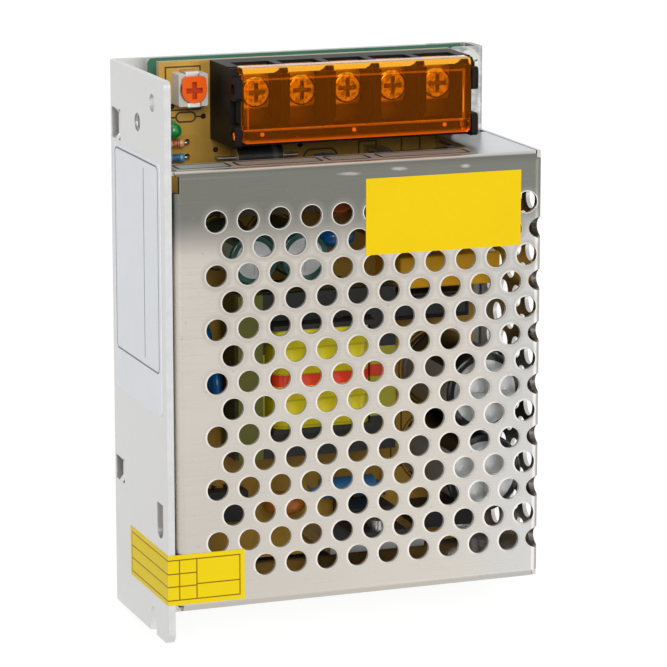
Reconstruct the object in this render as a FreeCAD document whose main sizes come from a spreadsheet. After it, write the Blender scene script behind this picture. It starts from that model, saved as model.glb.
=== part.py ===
import FreeCAD, Part
import math
import os

import Sketcher

# Enclosed switching power supply, lying on its base plate.
# X runs from the tall chassis wall (-X) to the cover's side wall (+X).
# Y runs along the case, with the terminal block at +Y. Z points up through the perforated cover.
# All sizes are in millimetres.

Vector = FreeCAD.Vector
doc = FreeCAD.newDocument("PowerSupply")
table = doc.addObject("Spreadsheet::Sheet", "Sizes")
nodes = {}
row_count = [0]


# Sizes

class Dim:
    """A size that carries its number and the spreadsheet expression it comes from."""

    def __init__(self, value, text=None):
        self.value = float(value)
        self.text = repr(float(value)) if text is None else text

    def join(self, other, sign, value):
        return Dim(value, "(" + self.text + " " + sign + " " + other.text + ")")

    def __add__(self, other):
        other = dim(other)
        return self.join(other, "+", self.value + other.value)

    def __radd__(self, other):
        return dim(other) + self

    def __sub__(self, other):
        other = dim(other)
        return self.join(other, "-", self.value - other.value)

    def __rsub__(self, other):
        return dim(other) - self

    def __mul__(self, other):
        other = dim(other)
        return self.join(other, "*", self.value * other.value)

    def __rmul__(self, other):
        return dim(other) * self

    def __truediv__(self, other):
        other = dim(other)
        return self.join(other, "/", self.value / other.value)

    def __neg__(self):
        return Dim(-self.value, "(0 - " + self.text + ")")


def dim(value):
    """The value as a Dim."""
    return value if isinstance(value, Dim) else Dim(value)


def size(name, value, note):
    """Adds one named size to the spreadsheet and returns it as a Dim."""
    row_count[0] += 1
    row = str(row_count[0])
    table.set("A" + row, name)
    table.set("B" + row, str(value))
    table.set("C" + row, note)
    table.setAlias("B" + row, name)
    return Dim(value, "Sizes." + name)


case_width = size("case_width", 78.0, "case over the side walls")
case_length = size("case_length", 110.0, "case along the terminals to far end")
case_height = size("case_height", 36.0, "base underside to cover face")
wall_sheet = size("wall_sheet", 1.4, "chassis sheet thickness")
cover_sheet = size("cover_sheet", 0.8, "cover sheet thickness")
fold_radius = size("fold_radius", 1.8, "outer radius of the folds")
label_film = size("label_film", 0.1, "label thickness")
panel_gap = size("panel_gap", 0.3, "gap between chassis and cover sheets")
terminal_zone = size("terminal_zone", 17.35, "open length at the terminal end")
far_lip = size("far_lip", 6.2, "base lip past the cover's end wall")
flange_height = size("flange_height", 6.5, "low right flange of the chassis")
board_under = size("board_under", 6.4, "underside of the board above the base underside")
board_sheet = size("board_sheet", 1.6, "board thickness")
shelf_strip = size("shelf_strip", 9.5, "depth of the shelf strip over the board")
lance_depth = size("lance_depth", 0.8, "how far the wall lances stand in")
shelf_wing = size("shelf_wing", 11.85, "cover beside the shelf notch")
hole_diameter = size("hole_diameter", 4.3, "vent hole diameter")
hole_pitch = size("hole_pitch", 6.43, "vent holes along a row")
hole_row_pitch = size("hole_row_pitch", 5.257, "between rows of vent holes")
vent_side_margin = size("vent_side_margin", 10.25, "wall face to the first vent hole")
vent_end_margin = size("vent_end_margin", 9.9, "shelf edge to the first row of holes")
way_pitch = size("way_pitch", 9.52, "terminal pitch")
way_width = size("way_width", 7.9, "clear width of a terminal way")
block_centre = size("block_centre", 4.85, "middle of the terminal block, across")
block_length = size("block_length", 50.7, "terminal block over its end plates")
contact_level = size("contact_level", 13.2, "underside of the contact plates")
pivot_setback = size("pivot_setback", 13.35, "terminal end to the flap pivot")
pivot_level = size("pivot_level", 21.9, "flap pivot, height")

left = label_film / 2 - case_width / 2
right = left + case_width
near_end = -case_length / 2
far_end = case_length / 2
chassis_right = right - cover_sheet - panel_gap
wall_inside = left + wall_sheet
cover_left = wall_inside + 0.25
cover_right = right
cover_near = near_end + far_lip
cover_far = far_end - terminal_zone
cover_under = case_height - cover_sheet
board_top = board_under + board_sheet
shelf_edge = right - shelf_wing
hole_first_x = left + vent_side_margin
hole_first_y = cover_far - vent_end_margin
pivot_along = far_end - pivot_setback
mount_level = case_height - 4.8
ear_inner = chassis_right - 7.05
ear_start = cover_far + panel_gap
screw_row = near_end + 11.0
board_screw_spots = [(right - 7.05, screw_row), (left + 12.95, screw_row)]
ear_screw_spot = (right - 5.05, far_end - 2.7)
tall_can = cover_under - board_top - 2.2
doc.recompute()


# Building blocks

NORMALS = {"XY": 1.0, "XZ": -1.0, "YZ": 1.0}


def origin_item(body, role):
    """The origin plane or axis of a body with this role."""
    for item in body.Origin.OriginFeatures:
        if item.Role == role:
            return item
    raise ValueError(role)


def new_body(name):
    """An empty body whose label is its file name."""
    body = doc.addObject("PartDesign::Body", "Body_" + name)
    body.Label = name
    nodes[name] = body
    return body


def attach(body, name, plane, level):
    """A sketch on one of the body's own origin planes, moved to a level along its axis."""
    sketch = body.newObject("Sketcher::SketchObject", name)
    sketch.AttachmentSupport = [(origin_item(body, plane + "_Plane"), "")]
    sketch.MapMode = "FlatFace"
    offset = level if NORMALS[plane] > 0 else -level
    sketch.AttachmentOffset = FreeCAD.Placement(Vector(0, 0, offset.value), FreeCAD.Rotation())
    sketch.setExpression("AttachmentOffset.Base.z", offset.text)
    return sketch


def bind(sketch, kind, geometry, point, value):
    """A signed distance from the sketch origin, bound to its size."""
    mark = sketch.addConstraint(Sketcher.Constraint(kind, -1, 1, geometry, point, value.value))
    sketch.setExpression("Constraints[" + str(mark) + "]", value.text)


def draw_polygon(sketch, points):
    """A closed outline with every corner bound to its two sizes."""
    points = [(dim(a), dim(b)) for a, b in points]
    count = len(points)
    first = sketch.GeometryCount
    for i in range(count):
        a, b = points[i], points[(i + 1) % count]
        start = Vector(a[0].value, a[1].value, 0)
        end = Vector(b[0].value, b[1].value, 0)
        sketch.addGeometry(Part.LineSegment(start, end))
    for i in range(count):
        following = first + (i + 1) % count
        sketch.addConstraint(Sketcher.Constraint("Coincident", first + i, 2, following, 1))
        bind(sketch, "DistanceX", first + i, 1, points[i][0])
        bind(sketch, "DistanceY", first + i, 1, points[i][1])


def draw_circle(sketch, centre, diameter):
    """A circle bound to its centre and diameter."""
    x, y, diameter = dim(centre[0]), dim(centre[1]), dim(diameter)
    index = sketch.GeometryCount
    sketch.addGeometry(Part.Circle(Vector(x.value, y.value, 0), Vector(0, 0, 1), diameter.value / 2))
    bind(sketch, "DistanceX", index, 3, x)
    bind(sketch, "DistanceY", index, 3, y)
    mark = sketch.addConstraint(Sketcher.Constraint("Diameter", index, diameter.value))
    sketch.setExpression("Constraints[" + str(mark) + "]", diameter.text)


def outline_feature(body, name, plane, drawing, start, end, cut):
    """A pad or pocket of a drawing between two levels along the plane's axis."""
    start, end = dim(start), dim(end)
    forward = NORMALS[plane] > 0
    level = start if forward else end
    sketch = attach(body, name + "_outline", plane, level)
    drawing(sketch)
    before = body.Shape.Volume if cut else 0.0
    feature = body.newObject("PartDesign::Pocket" if cut else "PartDesign::Pad", name)
    feature.Profile = sketch
    depth = end - start
    feature.Length = depth.value
    feature.setExpression("Length", depth.text)
    feature.Reversed = cut
    sketch.Visibility = False
    doc.recompute()
    if cut and body.Shape.Volume >= before - 1e-6:
        raise RuntimeError(name + " cuts nothing")
    return feature


def block(body, name, plane, points, start, end, cut=False):
    """A straight prism of an outline, added or cut."""
    return outline_feature(body, name, plane, lambda s: draw_polygon(s, points), start, end, cut)


def rectangle(a0, a1, b0, b1):
    """The four corners of a rectangle."""
    return [(a0, b0), (a1, b0), (a1, b1), (a0, b1)]


def discs(body, name, plane, centres, diameter, start, end, cut=False):
    """Round pads or holes of one diameter."""
    def drawing(sketch):
        for centre in centres:
            draw_circle(sketch, centre, diameter)
    return outline_feature(body, name, plane, drawing, start, end, cut)


def edges_where(shape, test):
    """Names of the edges whose box passes the test."""
    names = []
    for i, edge in enumerate(shape.Edges):
        if test(edge.BoundBox, edge):
            names.append("Edge" + str(i + 1))
    return names


def near(a, b):
    """Are two numbers the same within a hundredth of a millimetre?"""
    return abs(a - dim(b).value) < 0.01


def round_edges(body, name, radius, test):
    """A fillet on the edges of the body that pass the test."""
    radius = dim(radius)
    tip = body.Tip
    found = edges_where(tip.Shape, test)
    if not found:
        raise RuntimeError(name + " finds no edge")
    fillet = body.newObject("PartDesign::Fillet", name)
    fillet.Base = (tip, found)
    fillet.Radius = radius.value
    fillet.setExpression("Radius", radius.text)
    doc.recompute()
    return fillet


def repeat(body, name, feature, first, second=None):
    """A pattern of a feature: each direction is (axis, reversed, pitch, count)."""
    pattern = body.newObject("PartDesign::LinearPattern", name)
    pattern.Originals = [feature]
    for item, tail in ((first, ""), (second, "2")):
        if item is None:
            continue
        axis, backwards, pitch, count = item
        span = dim(pitch) * (count - 1)
        setattr(pattern, "Direction" + tail, (origin_item(body, axis + "_Axis"), [""]))
        setattr(pattern, "Reversed" + tail, backwards)
        setattr(pattern, "Length" + tail, span.value)
        pattern.setExpression("Length" + tail, span.text)
        setattr(pattern, "Occurrences" + tail, count)
    body.Tip = pattern
    doc.recompute()
    return pattern


def bound(item, prop, value):
    """Sets a length of an object and binds it to its size."""
    value = dim(value)
    item.setExpression(prop, value.text)
    return value


def placed(item, x, y, z, rotation=None):
    """Places a primitive with its base bound to three sizes."""
    x, y, z = dim(x), dim(y), dim(z)
    turn = rotation or FreeCAD.Rotation()
    item.Placement = FreeCAD.Placement(Vector(x.value, y.value, z.value), turn)
    item.setExpression("Placement.Base.x", x.text)
    item.setExpression("Placement.Base.y", y.text)
    item.setExpression("Placement.Base.z", z.text)
    return item


def brick(name, x, y, z):
    """A box between three pairs of limits."""
    item = doc.addObject("Part::Box", name)
    limits = [(dim(a), dim(b)) for a, b in (x, y, z)]
    for prop, (a, b) in zip(("Length", "Width", "Height"), limits):
        span = b - a
        setattr(item, prop, span.value)
        bound(item, prop, span)
    return placed(item, limits[0][0], limits[1][0], limits[2][0])


AXIS_TURNS = {
    "Z": FreeCAD.Rotation(),
    "X": FreeCAD.Rotation(Vector(0, 1, 0), 90),
    "Y": FreeCAD.Rotation(Vector(1, 0, 0), -90),
}


def rod(name, axis, start, diameter, length):
    """A cylinder from a start point along an axis."""
    item = doc.addObject("Part::Cylinder", name)
    radius, length = dim(diameter) / 2, dim(length)
    item.Radius = radius.value
    item.Height = length.value
    bound(item, "Radius", radius)
    bound(item, "Height", length)
    return placed(item, start[0], start[1], start[2], AXIS_TURNS[axis])


def fused(name, parts):
    """One solid of several touching pieces."""
    item = doc.addObject("Part::MultiFuse", name)
    item.Shapes = parts
    item.Refine = True
    return item


def cut_from(name, base, tools):
    """A solid with one or more tools cut from it."""
    tool = tools[0] if len(tools) == 1 else fused(name + "_tools", tools)
    item = doc.addObject("Part::Cut", name)
    item.Base = base
    item.Tool = tool
    return item


def softened(name, base, radius, test):
    """A primitive with the edges that pass the test rounded."""
    doc.recompute()
    item = doc.addObject("Part::Fillet", name)
    item.Base = base
    chosen = []
    for i, edge in enumerate(base.Shape.Edges):
        if test(edge.BoundBox, edge):
            chosen.append((i + 1, radius, radius))
    item.Edges = chosen
    return item


def upright(box, edge):
    """Is this a straight edge along Z?"""
    return box.XLength < 0.01 and box.YLength < 0.01


def any_edge(box, edge):
    """Every edge."""
    return True


def keep(name, item):
    """Registers a finished sub-part under its file name."""
    item.Label = name
    nodes[name] = item
    return item


def group(name, items):
    """Separate solids that share one node."""
    item = doc.addObject("Part::Compound", "Group_" + name)
    item.Links = items
    return keep(name, item)


# Chassis: base, tall left wall and low right flange folded from one sheet

def build_chassis():
    """The folded chassis with its lances, slots, ear and bosses."""
    body = new_body("chassis")
    section = [
        (left, 0), (chassis_right, 0), (chassis_right, flange_height),
        (chassis_right - wall_sheet, flange_height), (chassis_right - wall_sheet, wall_sheet),
        (wall_inside, wall_sheet), (wall_inside, case_height), (left, case_height),
    ]
    block(body, "folded_sheet", "XZ", section, near_end, far_end)
    ear = [
        (ear_inner, board_top - wall_sheet), (chassis_right - wall_sheet, board_top - wall_sheet),
        (chassis_right - wall_sheet, flange_height - 0.2), (chassis_right, flange_height - 0.2),
        (chassis_right, board_top), (ear_inner, board_top),
    ]
    block(body, "board_ear", "XZ", ear, ear_start, far_end)

    def along_y(box):
        return box.XLength < 0.01 and box.ZLength < 0.01

    def outer_folds(box, edge):
        side = near(box.XMin, left) or near(box.XMin, chassis_right)
        return along_y(box) and side and near(box.ZMin, 0)

    def inner_folds(box, edge):
        side = near(box.XMin, wall_inside) or near(box.XMin, chassis_right - wall_sheet)
        return along_y(box) and side and near(box.ZMin, wall_sheet)

    def ear_fold(box, edge):
        return along_y(box) and near(box.XMin, chassis_right) and near(box.ZMin, board_top)

    def wall_corner(box, edge):
        across = box.YLength < 0.01 and box.ZLength < 0.01
        return across and near(box.YMin, near_end) and near(box.ZMin, case_height)

    def wall_top_corner(box, edge):
        across = box.YLength < 0.01 and box.ZLength < 0.01
        return across and near(box.YMin, far_end) and near(box.ZMin, case_height)

    def ear_corner(box, edge):
        return upright(box, edge) and near(box.XMin, ear_inner) and near(box.ZMax, board_top)

    round_edges(body, "outer_fold", fold_radius, outer_folds)
    round_edges(body, "inner_fold", fold_radius - wall_sheet, inner_folds)
    round_edges(body, "ear_fold", 1.2, ear_fold)
    round_edges(body, "wall_near_corner", 2.2, wall_corner)
    round_edges(body, "wall_far_corner", 1.2, wall_top_corner)
    round_edges(body, "ear_corner", 1.0, ear_corner)

    flange_clear = rectangle(chassis_right - wall_sheet - 0.45, chassis_right + 1, wall_sheet, 12)
    block(body, "flange_end", "XZ", flange_clear, near_end - 1, cover_near + 1.4, cut=True)

    through = (left - 1, wall_inside + 1)
    slot_start = near_end + 22.2
    slot = rectangle(slot_start, slot_start + 5.1, mount_level - 1.85, mount_level + 1.85)
    block(body, "mount_slot", "YZ", slot, *through, cut=True)
    discs(body, "mount_slot_end", "YZ", [(slot_start, mount_level)], 3.7, *through, cut=True)
    notch_level = mount_level - 4.9
    notch = rectangle(near_end - 1, near_end + 3.4, notch_level - 1.8, notch_level + 1.8)
    block(body, "edge_notch", "YZ", notch, *through, cut=True)
    discs(body, "edge_notch_end", "YZ", [(near_end + 3.4, notch_level)], 3.6, *through, cut=True)
    discs(body, "wall_hole", "YZ", [(far_end - 4.9, mount_level - 2.5)], 3.4, *through, cut=True)
    mount_hole = (far_end - 9.9, 19.2)
    discs(body, "extruded_rim", "YZ", [mount_hole], 4.8, wall_inside - 0.2, wall_inside + 1.3)
    discs(body, "extruded_hole", "YZ", [mount_hole], 3.0, left - 1, wall_inside + 2, cut=True)
    discs(body, "extruded_mouth", "YZ", [mount_hole], 3.6, left - 1, left + 0.5, cut=True)

    lances = (
        ("far", far_end - 15.2, far_end - 9.1),
        ("near", near_end + 25.6, near_end + 30.5),
    )
    for tag, low, high in lances:
        window = rectangle(low, high, board_under - 4.1, board_under + 1.5)
        block(body, "lance_window_" + tag, "YZ", window, *through, cut=True)
        strip = [
            (left, low), (left + lance_depth, low + 1.0), (left + lance_depth, high - 1.0), (left, high),
            (wall_inside, high), (wall_inside + lance_depth, high - 1.0),
            (wall_inside + lance_depth, low + 1.0), (wall_inside, low),
        ]
        block(body, "lance_strip_" + tag, "XY", strip, board_under - 2.1, board_under)

    for tag, x in (("left", left + 13.95), ("right", right - 14.05)):
        lip = rectangle(x - 1.8, x + 1.8, near_end - 1, near_end + 3.0)
        block(body, "lip_slot_" + tag, "XY", lip, -1, wall_sheet + 1, cut=True)
        end = [(x, near_end + 3.0)]
        discs(body, "lip_slot_end_" + tag, "XY", end, 3.6, -1, wall_sheet + 1, cut=True)

    bosses = board_screw_spots
    discs(body, "pressed_bosses", "XY", bosses, 6.0, wall_sheet - 0.2, board_under)
    discs(body, "boss_bores", "XY", bosses, 2.6, -1, board_under + 1, cut=True)
    discs(body, "ear_bore", "XY", [ear_screw_spot], 2.6, board_top - wall_sheet - 1, board_top + 1, cut=True)
    return body


# Cover: perforated front, right wall, terminal shelf, end wall and left lip

def build_cover():
    """The folded cover with its relief notches and staggered vent holes."""
    body = new_body("cover")
    floor_level = wall_sheet + 0.5
    outer = rectangle(cover_left, cover_right, cover_near, cover_far)
    block(body, "cover_block", "XY", outer, floor_level, case_height)

    def top_edges(box, edge):
        return box.ZLength < 0.01 and near(box.ZMin, case_height)

    def under_edges(box, edge):
        return box.ZLength < 0.01 and near(box.ZMin, cover_under) and box.DiagonalLength > 20

    round_edges(body, "top_folds", fold_radius, top_edges)
    inner = rectangle(
        cover_left + cover_sheet, cover_right - cover_sheet,
        cover_near + cover_sheet, cover_far - cover_sheet,
    )
    block(body, "cover_hollow", "XY", inner, floor_level - 1, cover_under, cut=True)
    round_edges(body, "inner_folds", fold_radius - cover_sheet, under_edges)

    wide = (cover_left - 1, cover_right + 1)
    lip = rectangle(cover_left - 1, cover_left + cover_sheet, floor_level - 1, case_height - 8)
    block(body, "left_lip_edge", "XZ", lip, cover_near - 1, cover_far + 1, cut=True)
    seam = cover_right - cover_sheet
    shelf = [
        (cover_left - 1, floor_level - 1), (seam, floor_level - 1), (seam, board_top + 0.8),
        (shelf_edge, board_top + 0.8), (shelf_edge, case_height - shelf_strip),
        (cover_left - 1, case_height - shelf_strip),
    ]
    block(body, "shelf_notch", "XZ", shelf, cover_far - cover_sheet, cover_far + 1, cut=True)

    def notch_corner(box, edge):
        straight = box.XLength < 0.01 and box.ZLength < 0.01
        return straight and near(box.XMin, shelf_edge) and near(box.ZMin, case_height - shelf_strip)

    round_edges(body, "shelf_corner", 2.5, notch_corner)

    relief = dim(1.5)
    seam_top = case_height - relief
    seam_gap = rectangle(seam - 0.25, seam, floor_level - 1, seam_top)
    block(body, "shelf_seam", "XZ", seam_gap, cover_far - cover_sheet, cover_far + 1, cut=True)
    block(body, "end_seam", "XZ", seam_gap, cover_near - 1, cover_near + cover_sheet, cut=True)
    corners = (
        ("near_left", (cover_left - 1, cover_left + relief), (cover_near - 1, cover_near + relief)),
        ("near_right", (cover_right - relief, cover_right + 1), (cover_near - 1, cover_near + relief)),
        ("far_right", (cover_right - relief, cover_right + 1), (cover_far - relief, cover_far + 1)),
        ("far_left", (cover_left - 1, cover_left + relief * 0.5), (cover_far - relief, cover_far + 1)),
    )
    for tag, across, along in corners:
        square = rectangle(across[0], across[1], along[0], along[1])
        block(body, "relief_" + tag, "XY", square, seam_top, case_height + 1, cut=True)

    lip_end = rectangle(cover_left - 1, cover_left + 1.3, cover_far - 4.1, cover_far - cover_sheet)
    block(body, "lip_end", "XY", lip_end, floor_level - 1, case_height + 1, cut=True)

    face = (cover_under - 1, case_height + 1)
    second_y = hole_first_y - hole_row_pitch
    odd = discs(body, "vents_odd", "XY", [(hole_first_x, hole_first_y)], hole_diameter, *face, cut=True)
    repeat(body, "vents_odd_field", odd,
           ("X", False, hole_pitch, 11), ("Y", True, hole_row_pitch * 2, 7))
    even = discs(body, "vents_even", "XY", [(hole_first_x + hole_pitch / 2, second_y)],
                 hole_diameter, *face, cut=True)
    repeat(body, "vents_even_field", even,
           ("X", False, hole_pitch, 10), ("Y", True, hole_row_pitch * 2, 7))

    fold = body.newObject("PartDesign::SubtractiveCylinder", "fold_vent")
    radius = hole_diameter / 2
    fold.Radius = radius.value
    fold.setExpression("Radius", radius.text)
    fold.Height = 4.0
    fold.AttachmentSupport = [(origin_item(body, "XY_Plane"), "")]
    fold.MapMode = "FlatFace"
    lean = FreeCAD.Rotation(Vector(0, 1, 0), 45)
    start = (cover_right - 3.0, second_y, case_height - 3.0)
    fold.AttachmentOffset = FreeCAD.Placement(Vector(*[s.value for s in start]), lean)
    for letter, value in zip("xyz", start):
        fold.setExpression("AttachmentOffset.Base." + letter, value.text)
    doc.recompute()
    repeat(body, "fold_vents", fold, ("Y", True, hole_row_pitch * 2, 7))

    side = (cover_right - cover_sheet - 1, cover_right + 1)
    side_odd_level = case_height - 4.6
    side_odd = discs(body, "side_vents_odd", "YZ", [(hole_first_y, side_odd_level)],
                     hole_diameter, *side, cut=True)
    repeat(body, "side_vents_odd_field", side_odd,
           ("Z", True, hole_pitch, 4), ("Y", True, hole_row_pitch * 2, 7))
    side_even = discs(body, "side_vents_even", "YZ", [(second_y, side_odd_level - hole_pitch / 2)],
                      hole_diameter, *side, cut=True)
    repeat(body, "side_vents_even_field", side_even,
           ("Z", True, hole_pitch, 3), ("Y", True, hole_row_pitch * 2, 7))
    sunk = [(y, wall_sheet + 2.5) for y in (cover_far - 4.65, cover_near + 8.8)]
    discs(body, "cover_screw_holes", "YZ", sunk, 4.4, *side, cut=True)
    return body


# Board and insulating sheet

def build_board():
    """The board with its corner cut for the ear and two tabs on the wall lances."""
    body = new_body("circuit_board")
    edge_left = left + 7.95
    tab_left = wall_inside + panel_gap
    edge_right = chassis_right - wall_sheet - 0.4
    near_edge = cover_near + cover_sheet + 0.6
    far_edge = far_end - 0.1
    ear_gap_x = ear_inner - 0.4
    ear_gap_y = ear_start - 0.4
    outline = [
        (edge_left, near_edge), (edge_right, near_edge), (edge_right, ear_gap_y),
        (ear_gap_x, ear_gap_y), (ear_gap_x, far_edge), (edge_left, far_edge),
        (edge_left, far_end - 9.6), (tab_left, far_end - 9.6),
        (tab_left, far_end - 14.7), (edge_left, far_end - 14.7),
        (edge_left, near_end + 30.0), (tab_left, near_end + 30.0),
        (tab_left, near_end + 26.1), (edge_left, near_end + 26.1),
    ]
    block(body, "board_outline", "XY", outline, board_under, board_top)
    discs(body, "board_bores", "XY", board_screw_spots, 3.2,
          board_under - 1, board_top + 1, cut=True)
    return body


def build_insulation():
    """The thin sheet that lies on the base under the board."""
    body = new_body("insulating_sheet")
    outline = rectangle(left + 7.6, chassis_right - wall_sheet - 0.9, cover_near + 2.0, far_end - 0.1)
    block(body, "sheet_outline", "XY", outline, wall_sheet, wall_sheet + 0.4)

    def corners(box, edge):
        return upright(box, edge)

    round_edges(body, "sheet_corners", 1.0, corners)
    discs(body, "boss_openings", "XY", board_screw_spots, 6.6,
          wall_sheet - 1, wall_sheet + 2, cut=True)
    return body


# Terminal block

block_left = block_centre - block_length / 2
block_right = block_centre + block_length / 2
block_near = far_end - 15.7
block_far = far_end - 0.1
block_top = dim(20.0)
rib_top = block_top + 1.6
ear_top = pivot_level + 1.7
WAYS = range(5)


def way_x(i):
    """Middle of one terminal way."""
    return block_centre + way_pitch * (i - 2)


def build_housing():
    """The black barrier moulding with five open ways and four pivot ears."""
    body = new_body("terminal_housing")
    outline = rectangle(block_left, block_right, block_near, block_far)
    block(body, "moulding", "XY", outline, board_top, block_top)
    first = way_x(0)
    channel = rectangle(first - way_width / 2, first + way_width / 2, block_near + 2.7, block_far + 1)
    way = block(body, "way", "XY", channel, contact_level, block_top + 1, cut=True)
    repeat(body, "ways", way, ("X", False, way_pitch, 5))
    shoulder = rectangle(block_far - 1.5, block_far + 1, block_top - 0.8, block_top + 1)
    block(body, "flap_rebate", "YZ", shoulder, block_left - 1, block_right + 1, cut=True)
    rib_depth = (block_near + 4.9, block_far - 1.5)
    pillar = rectangle(first - way_pitch / 2 - 0.7, first - way_pitch / 2 + 0.7, *rib_depth)
    rib = block(body, "rib", "XY", pillar, block_top - 0.1, rib_top)
    repeat(body, "ribs", rib, ("X", False, way_pitch, 6))
    for tag, x0, x1 in (("left", block_left, block_left + 1.3), ("right", block_right - 1.3, block_right)):
        for level, along in (("near", block_near + 0.1), ("far", block_near + 9.3)):
            ear = rectangle(along, along + 4.5, block_top - 0.1, ear_top)
            block(body, "ear_" + tag + "_" + level, "YZ", ear, x0, x1)
    shoulder_side = [
        (block_near + 13.0, block_top - 0.9), (block_far - 0.2, block_top - 0.9),
        (block_far - 0.2, rib_top - 1.3), (block_far - 1.3, rib_top), (block_near + 13.0, rib_top),
    ]
    for tag, x0, x1 in (("left", block_left, block_left + 1.3), ("right", block_right - 1.3, block_right)):
        block(body, "shoulder_" + tag, "YZ", shoulder_side, x0, x1)
    screw_wells = [(first, block_near + 10.1)]
    well = discs(body, "screw_well", "XY", screw_wells, 4.4, board_top + 0.8, contact_level + 1, cut=True)
    repeat(body, "screw_wells", well, ("X", False, way_pitch, 5))
    leg = rectangle(first - 1.5, first + 1.5, block_near + 2.9, block_near + 3.9)
    slot = block(body, "leg_slot", "XY", leg, board_top - 1, contact_level + 1, cut=True)
    repeat(body, "leg_slots", slot, ("X", False, way_pitch, 5))
    bores = [(pivot_along, pivot_level), (block_near + 11.5, pivot_level)]
    discs(body, "pivot_bores", "YZ", bores, 2.2, block_left - 1, block_left + 2, cut=True)
    discs(body, "pivot_bores_right", "YZ", bores, 2.2, block_right - 2, block_right + 1, cut=True)

    def ear_corners(box, edge):
        across = box.YLength < 0.01 and box.ZLength < 0.01
        return across and near(box.ZMin, ear_top)

    round_edges(body, "ear_corners", 0.8, ear_corners)
    return body


def build_contacts():
    """Five contact plates, each with a leg down to the board."""
    items = []
    for i in WAYS:
        x = way_x(i)
        tag = str(i + 1)
        plate = brick("contact_plate_" + tag, (x - 3.6, x + 3.6),
                      (block_near + 3.0, block_far - 0.6), (contact_level, contact_level + 0.8))
        leg = brick("contact_leg_" + tag, (x - 1.2, x + 1.2),
                    (block_near + 3.0, block_near + 3.8), (board_top, contact_level + 0.4))
        solid = fused("contact_blank_" + tag, [plate, leg])
        bore = rod("contact_bore_" + tag, "Z", (x, block_near + 10.1, contact_level - 1), 3.7, 3)
        items.append(cut_from("contact_" + tag, solid, [bore]))
    group("terminal_contacts", items)


def build_clamps_and_screws():
    """Each way's square clamp washer and cross recessed screw."""
    seat = contact_level + 0.8
    for i in WAYS:
        x = way_x(i)
        y = block_near + 10.1
        tag = str(i + 1)
        washer = new_body("terminal_clamp_" + tag)
        block(washer, "washer_" + tag, "XY", rectangle(x - 3.4, x + 3.4, y - 3.2, y + 3.2),
              seat + 0.05, seat + 0.95)
        discs(washer, "washer_bore_" + tag, "XY", [(x, y)], 3.7, seat - 1, seat + 2, cut=True)
        round_edges(washer, "washer_corners_" + tag, 0.7, upright)
        screw = new_body("terminal_screw_" + tag)
        discs(screw, "head_" + tag, "XY", [(x, y)], 6.0, seat + 1.05, seat + 3.3)
        discs(screw, "shank_" + tag, "XY", [(x, y)], 3.0, seat - 4.6, seat + 1.1)
        cross = [
            (x - 0.45, y - 1.9), (x + 0.45, y - 1.9), (x + 0.45, y - 0.45), (x + 1.9, y - 0.45),
            (x + 1.9, y + 0.45), (x + 0.45, y + 0.45), (x + 0.45, y + 1.9), (x - 0.45, y + 1.9),
            (x - 0.45, y + 0.45), (x - 1.9, y + 0.45), (x - 1.9, y - 0.45), (x - 0.45, y - 0.45),
        ]
        block(screw, "recess_" + tag, "XY", cross, seat + 2.1, seat + 4, cut=True)

        def rim(box, edge):
            round_one = box.ZLength < 0.01 and near(box.XLength, 6.0)
            return round_one and near(box.ZMin, seat + 3.3)

        round_edges(screw, "head_rim_" + tag, 0.5, rim)


def build_flap():
    """The hinged flap with its raised rim, folded wire edge, lugs and pivot pins."""
    body = new_body("terminal_flap")
    x0, x1 = block_left + 1.6, block_right - 1.6
    top = pivot_level + 1.6
    under = top - 1.2
    y0, y1 = pivot_along - 1.35, far_end
    section = [
        (y0, under), (y1 - 1.2, under), (y1 - 1.2, block_top - 0.4), (y1, block_top - 0.4),
        (y1, top), (y0, top),
    ]
    block(body, "flap_section", "YZ", section, x0, x1)

    def outer_bend(box, edge):
        across = box.YLength < 0.01 and box.ZLength < 0.01
        return across and near(box.YMin, y1) and near(box.ZMin, top)

    def plan_corners(box, edge):
        return upright(box, edge) and near(box.YMin, y0)

    round_edges(body, "flap_bend", 1.1, outer_bend)
    round_edges(body, "flap_corners", 0.8, plan_corners)
    panel = rectangle(x0 + 1.1, x1 - 1.5, y0 + 2.6, y1 - 2.4)
    block(body, "flap_panel", "XY", panel, top - 0.35, top + 1, cut=True)
    for tag, a, b in (("left", x0, x0 + 1.2), ("right", x1 - 1.2, x1)):
        lug = rectangle(pivot_along - 1.05, pivot_along + 1.05, pivot_level - 1.0, under + 0.1)
        block(body, "lug_" + tag, "YZ", lug, a, b)
    centre = [(pivot_along, pivot_level)]
    discs(body, "pin_left", "YZ", centre, 1.6, x0 - 1.3, x0 + 0.4)
    discs(body, "pin_right", "YZ", centre, 1.6, x1 - 0.4, x1 + 1.3)
    marks = [(block_centre + d, y0 + 1.1) for d in (-13.0, 0.0, 13.0)]
    discs(body, "mould_marks", "XY", marks, 1.1, top - 0.25, top + 1, cut=True)
    return body


# Parts on the board

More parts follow.
